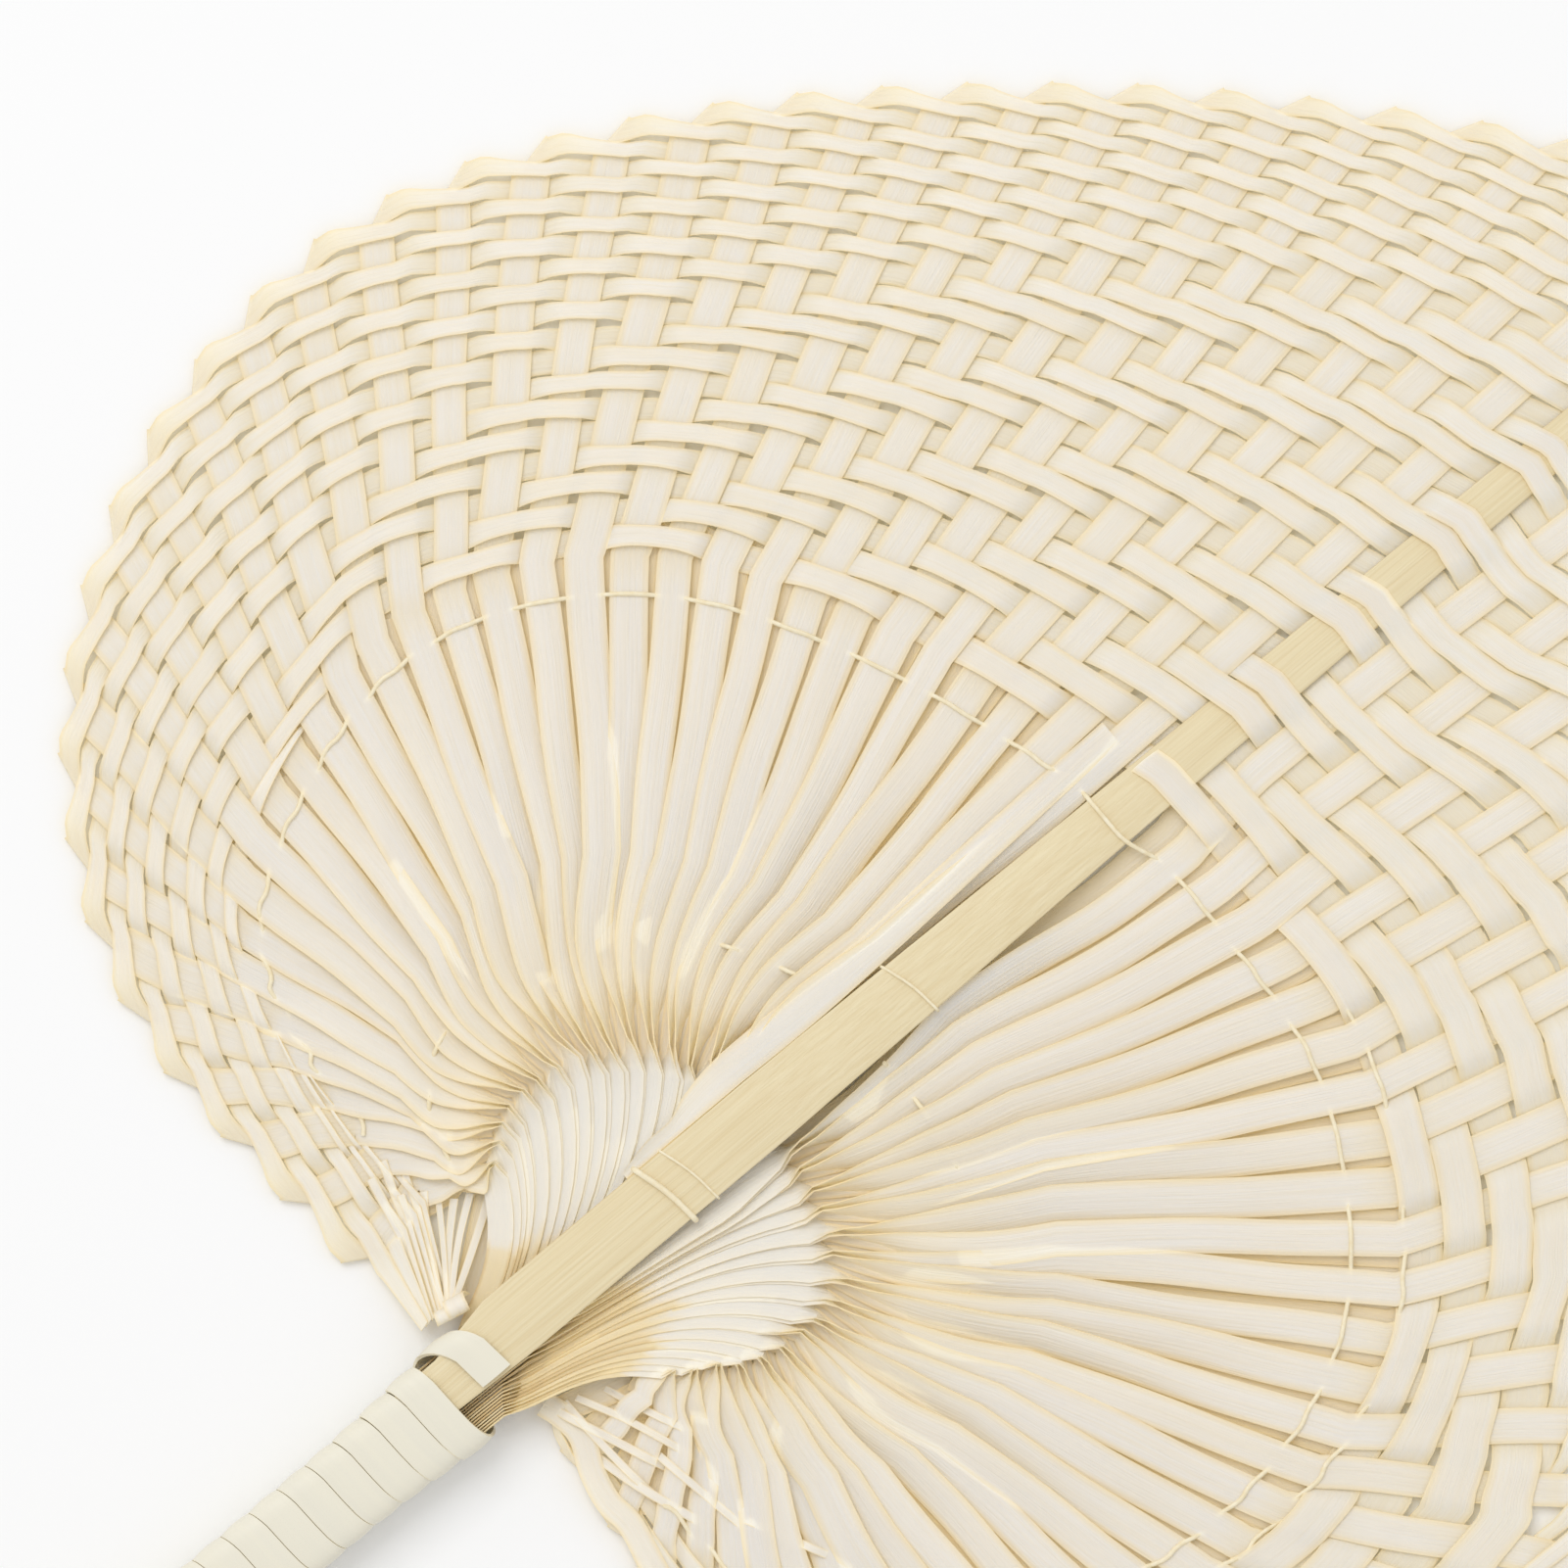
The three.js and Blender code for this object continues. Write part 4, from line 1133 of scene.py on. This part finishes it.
# Start, end and width of each
TAIL_STRIPS = [
    ((14.0, 8.6), (34, 17), 1.4), ((15.3, 11.1), (36, 12.5), 1.3), ((16, 13), (36, 21.5), 1.2),
    ((17.8, 17.4), (35, 25.1), 1.2), ((24, 9), (45.5, 16), 1.5), ((29, 16.8), (50, 20.4), 1.3),
    ((46, 20), (61, 27.6), 1.3),
]
RIM_STRIP = [(13.4, 8.4), (17.5, 9.6), (21.5, 9.6), (26.5, 7.4), (32, 6.2), (37, 6.6), (44, 5.2), (54, 3.2)]
RIM_STRIP_WIDTH = 4.2
# Painted shade: the first of these is a golden sheet beneath the tail strips, a shade in the gaps between
# them
tail_ribbons = [narrow_strip((15.4, 8, 1.2), (20, 24, 1.2), (4, 6), (0, 0, 0), golden=1)]
along_tail = np.linspace(0, 1, 20)
tucked = 1.3 * smooth_step(np.abs(along_tail - 0.5), 0.3, 0.5)
for number, (place, far_place, width) in enumerate(TAIL_STRIPS):
    start = (*place, 2.6 + 0.2 * (number % 3))
    end = (*far_place, 3.0 + 0.25 * (number % 4))
    weave = 0.5 * np.sin(9 * along_tail + number) - tucked
    bow = chance.normal(0, 0.4, 3) * (1, 1, 0)
    tail_ribbons.append(narrow_strip(start, end, (width, width), bow, weave))
rim_line = with_z(spline(RIM_STRIP, 8), 0.0)
rim_line[:, 2] = np.linspace(2.2, 2.7, len(rim_line))
rim_half = with_z(turned_right(unit(np.gradient(rim_line, axis=0))), 0.1) * RIM_STRIP_WIDTH / 2
tail_ribbons.append(one_run(rim_line - rim_half, rim_line + rim_half, crown=0.15))
tails = leaf_mesh("tail_strips", tail_ribbons)
tails.data.materials.append(palm_leaf)
smooth_leaf(tails)
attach(tails, "root")

# Rib page: half of the last leaflet on the left, turned back and laid along the rib. One edge lies against
# the rib's side, the other rests on the leaflets, and its end is tucked into the plaited band.

# Stations: y, gap to the rib's side, width from above, height of the inner edge, fall to the outer edge
RIB_PAGE_STATIONS = [
    (42, 0.1, 1.0, 9.0, 3.2), (48, 0.1, 2.4, 9.0, 3.6), (53, 0.1, 2.6, 9.0, 2.6),
    (58, 0.1, 4.4, 9.0, 2.4), (66, 0.1, 5.6, 8.9, 2.6), (82, 0.1, 5.8, 7.6, 2.2),
    (100, 0.9, 5.4, 5.5, 1.3), (120, 2.2, 5.0, 3.7, 0.5), (138, 3.3, 4.6, 2.5, 0.1),
    (147, 3.8, 4.4, 2.1, 0),
]
page_y, page_gap, page_width, page_z, page_fall = np.transpose(spline(RIB_PAGE_STATIONS, 10))
page_side = np.stack([-rib_half_width(page_y) - page_gap, page_y, page_z], axis=-1)
page_across = np.stack([page_width, np.zeros(len(page_y)), page_fall], axis=-1)
rib_page_strip = one_run(page_side - page_across, page_side, crown=0.3)
rib_page = leaf_mesh("rib_page", [rib_page_strip])
rib_page.data.materials.append(palm_leaf)
smooth_leaf(rib_page)
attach(rib_page, "root")

# Handle wrap: one long flat strip of smooth leaf wound tightly round the stalk and the leaflets' butts. It
# starts at the lower end, and its last turn climbs over the rib as a strap and ends square-cut on it.
WRAP_WIDTH = 5.75
WRAP_PITCH = 5.85
WRAP_THICKNESS = 0.6
WRAP_CROWN = 0.3
WRAP_TURNS = 17
WRAP_STEPS = 32
WRAP_TOP_Y = 0.8
STRAP_RISE = 5.2
STRAP_TURN = 0.36
STRAP_END_ANGLE = 0.497 * math.pi
HANDLE_HALF_WIDTH = 7.5
MOUTH_HALF_WIDTH = 9.26
MOUTH_FLARE_LENGTH = 28
HANDLE_HALF_HEIGHT = 5.26
SQUARENESS = 5
WRAP_COLOUR = (0.775, 0.74, 0.625, 1)
WRAP_STREAK_COLOUR = (0.85, 0.80, 0.64, 1)
WRAP_EDGE_COLOUR = (0.83, 0.73, 0.49, 1)
WRAP_FIBRES_PER_METRE = 1800


def wrap_points(turns_left, outward):
    """Points of the winding, counted in turns from the strap's end."""
    angle = STRAP_END_ANGLE + turns_left * 2 * math.pi
    y = WRAP_TOP_Y - WRAP_PITCH * turns_left + STRAP_RISE * np.clip(1 - turns_left / STRAP_TURN, 0, 1)
    flare = np.clip(1 + y / MOUTH_FLARE_LENGTH, 0, 1) ** 2
    half_width = HANDLE_HALF_WIDTH + (MOUTH_HALF_WIDTH - HANDLE_HALF_WIDTH) * flare + outward
    round_x, round_z = [
        np.sign(value) * np.abs(value) ** (2 / SQUARENESS)
        for value in (np.cos(angle), np.sin(angle))
    ]
    z = HANDLE_HALF_HEIGHT + (HANDLE_HALF_HEIGHT + outward) * round_z
    return np.stack([HANDLE_X + half_width * round_x, y, z], axis=-1)


def wrap_finish():
    """Smooth ivory leaf strip with faint fibres along it."""
    material, tree, shader = new_finish("ivory_wrap", 0.5)
    streaks = leaf_fibres(tree, WRAP_FIBRES_PER_METRE)
    bands = scaled(tree, streaks["Bands"], 0, 1, 0, 0.35)
    edge = scaled(tree, from_middle(tree), 0.93, 1, 0, 0.5)
    colour = blend_colour(tree, bands, WRAP_COLOUR, WRAP_STREAK_COLOUR)
    colour = blend_colour(tree, edge, colour, WRAP_EDGE_COLOUR)
    tree.links.new(colour, shader.inputs["Base Color"])
    tree.links.new(scaled(tree, streaks["Fine"], 0, 1, 0.42, 0.56), shader.inputs["Roughness"])
    raised(tree, shader, streaks["Fine"], 0.2, 0.0001)
    return material


turns_left = np.linspace(WRAP_TURNS, 0, WRAP_TURNS * WRAP_STEPS + 1)
inside = wrap_points(turns_left, -WRAP_THICKNESS - WRAP_CROWN)
outside = wrap_points(turns_left, -WRAP_CROWN)
core = (inside + outside) / 2
half_width = np.array([0, WRAP_WIDTH / 2, 0])
winding = one_run(core + half_width, core - half_width, up=unit(outside - inside), crown=WRAP_CROWN)
wrap = leaf_mesh("handle_winding", [winding], WRAP_THICKNESS)
wrap.data.materials.append(wrap_finish())
smooth_leaf(wrap)
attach(wrap, "root")
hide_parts("handle_wrap")

# Floor and light: the fan lies on a plain white table under a large soft lamp on its left and a bright,
# even room.
FLOOR_SIZE = 6
FLOOR_Z = -0.0002
FLOOR_COLOUR = (0.925, 0.925, 0.925, 1)
ROOM_LIGHT = 0.78
LAMP_SIZE = 2.4
LAMP_POWER = 54
LAMP_PLACE = (-2.2, 0.3, 3.3)

bpy.ops.object.select_all(action="DESELECT")
bpy.ops.mesh.primitive_plane_add(size=FLOOR_SIZE, location=(0, 0, FLOOR_Z))
floor = bpy.context.object
floor.name = "table"
bpy.ops.object.transform_apply(location=True, rotation=True, scale=True)
table_finish, _, table_shader = new_finish("white_table", 0.8)
table_shader.inputs["Base Color"].default_value = FLOOR_COLOUR
table_shader.inputs["Specular IOR Level"].default_value = 0.1
floor.data.materials.append(table_finish)

room = bpy.data.worlds.new("white_room")
bpy.context.scene.world = room
room.use_nodes = True
room.node_tree.nodes["Background"].inputs["Color"].default_value = (1, 1, 1, 1)
room.node_tree.nodes["Background"].inputs["Strength"].default_value = ROOM_LIGHT

bpy.ops.object.light_add(type="AREA", location=LAMP_PLACE)
lamp = bpy.context.object
lamp.name = "soft_lamp"
lamp.data.size = LAMP_SIZE
lamp.data.energy = LAMP_POWER
aim = -np.array(LAMP_PLACE)
lamp_tilt = math.acos(-aim[2] / np.linalg.norm(aim))
lamp.rotation_euler = (lamp_tilt, 0, math.atan2(aim[1], aim[0]) - math.pi / 2)
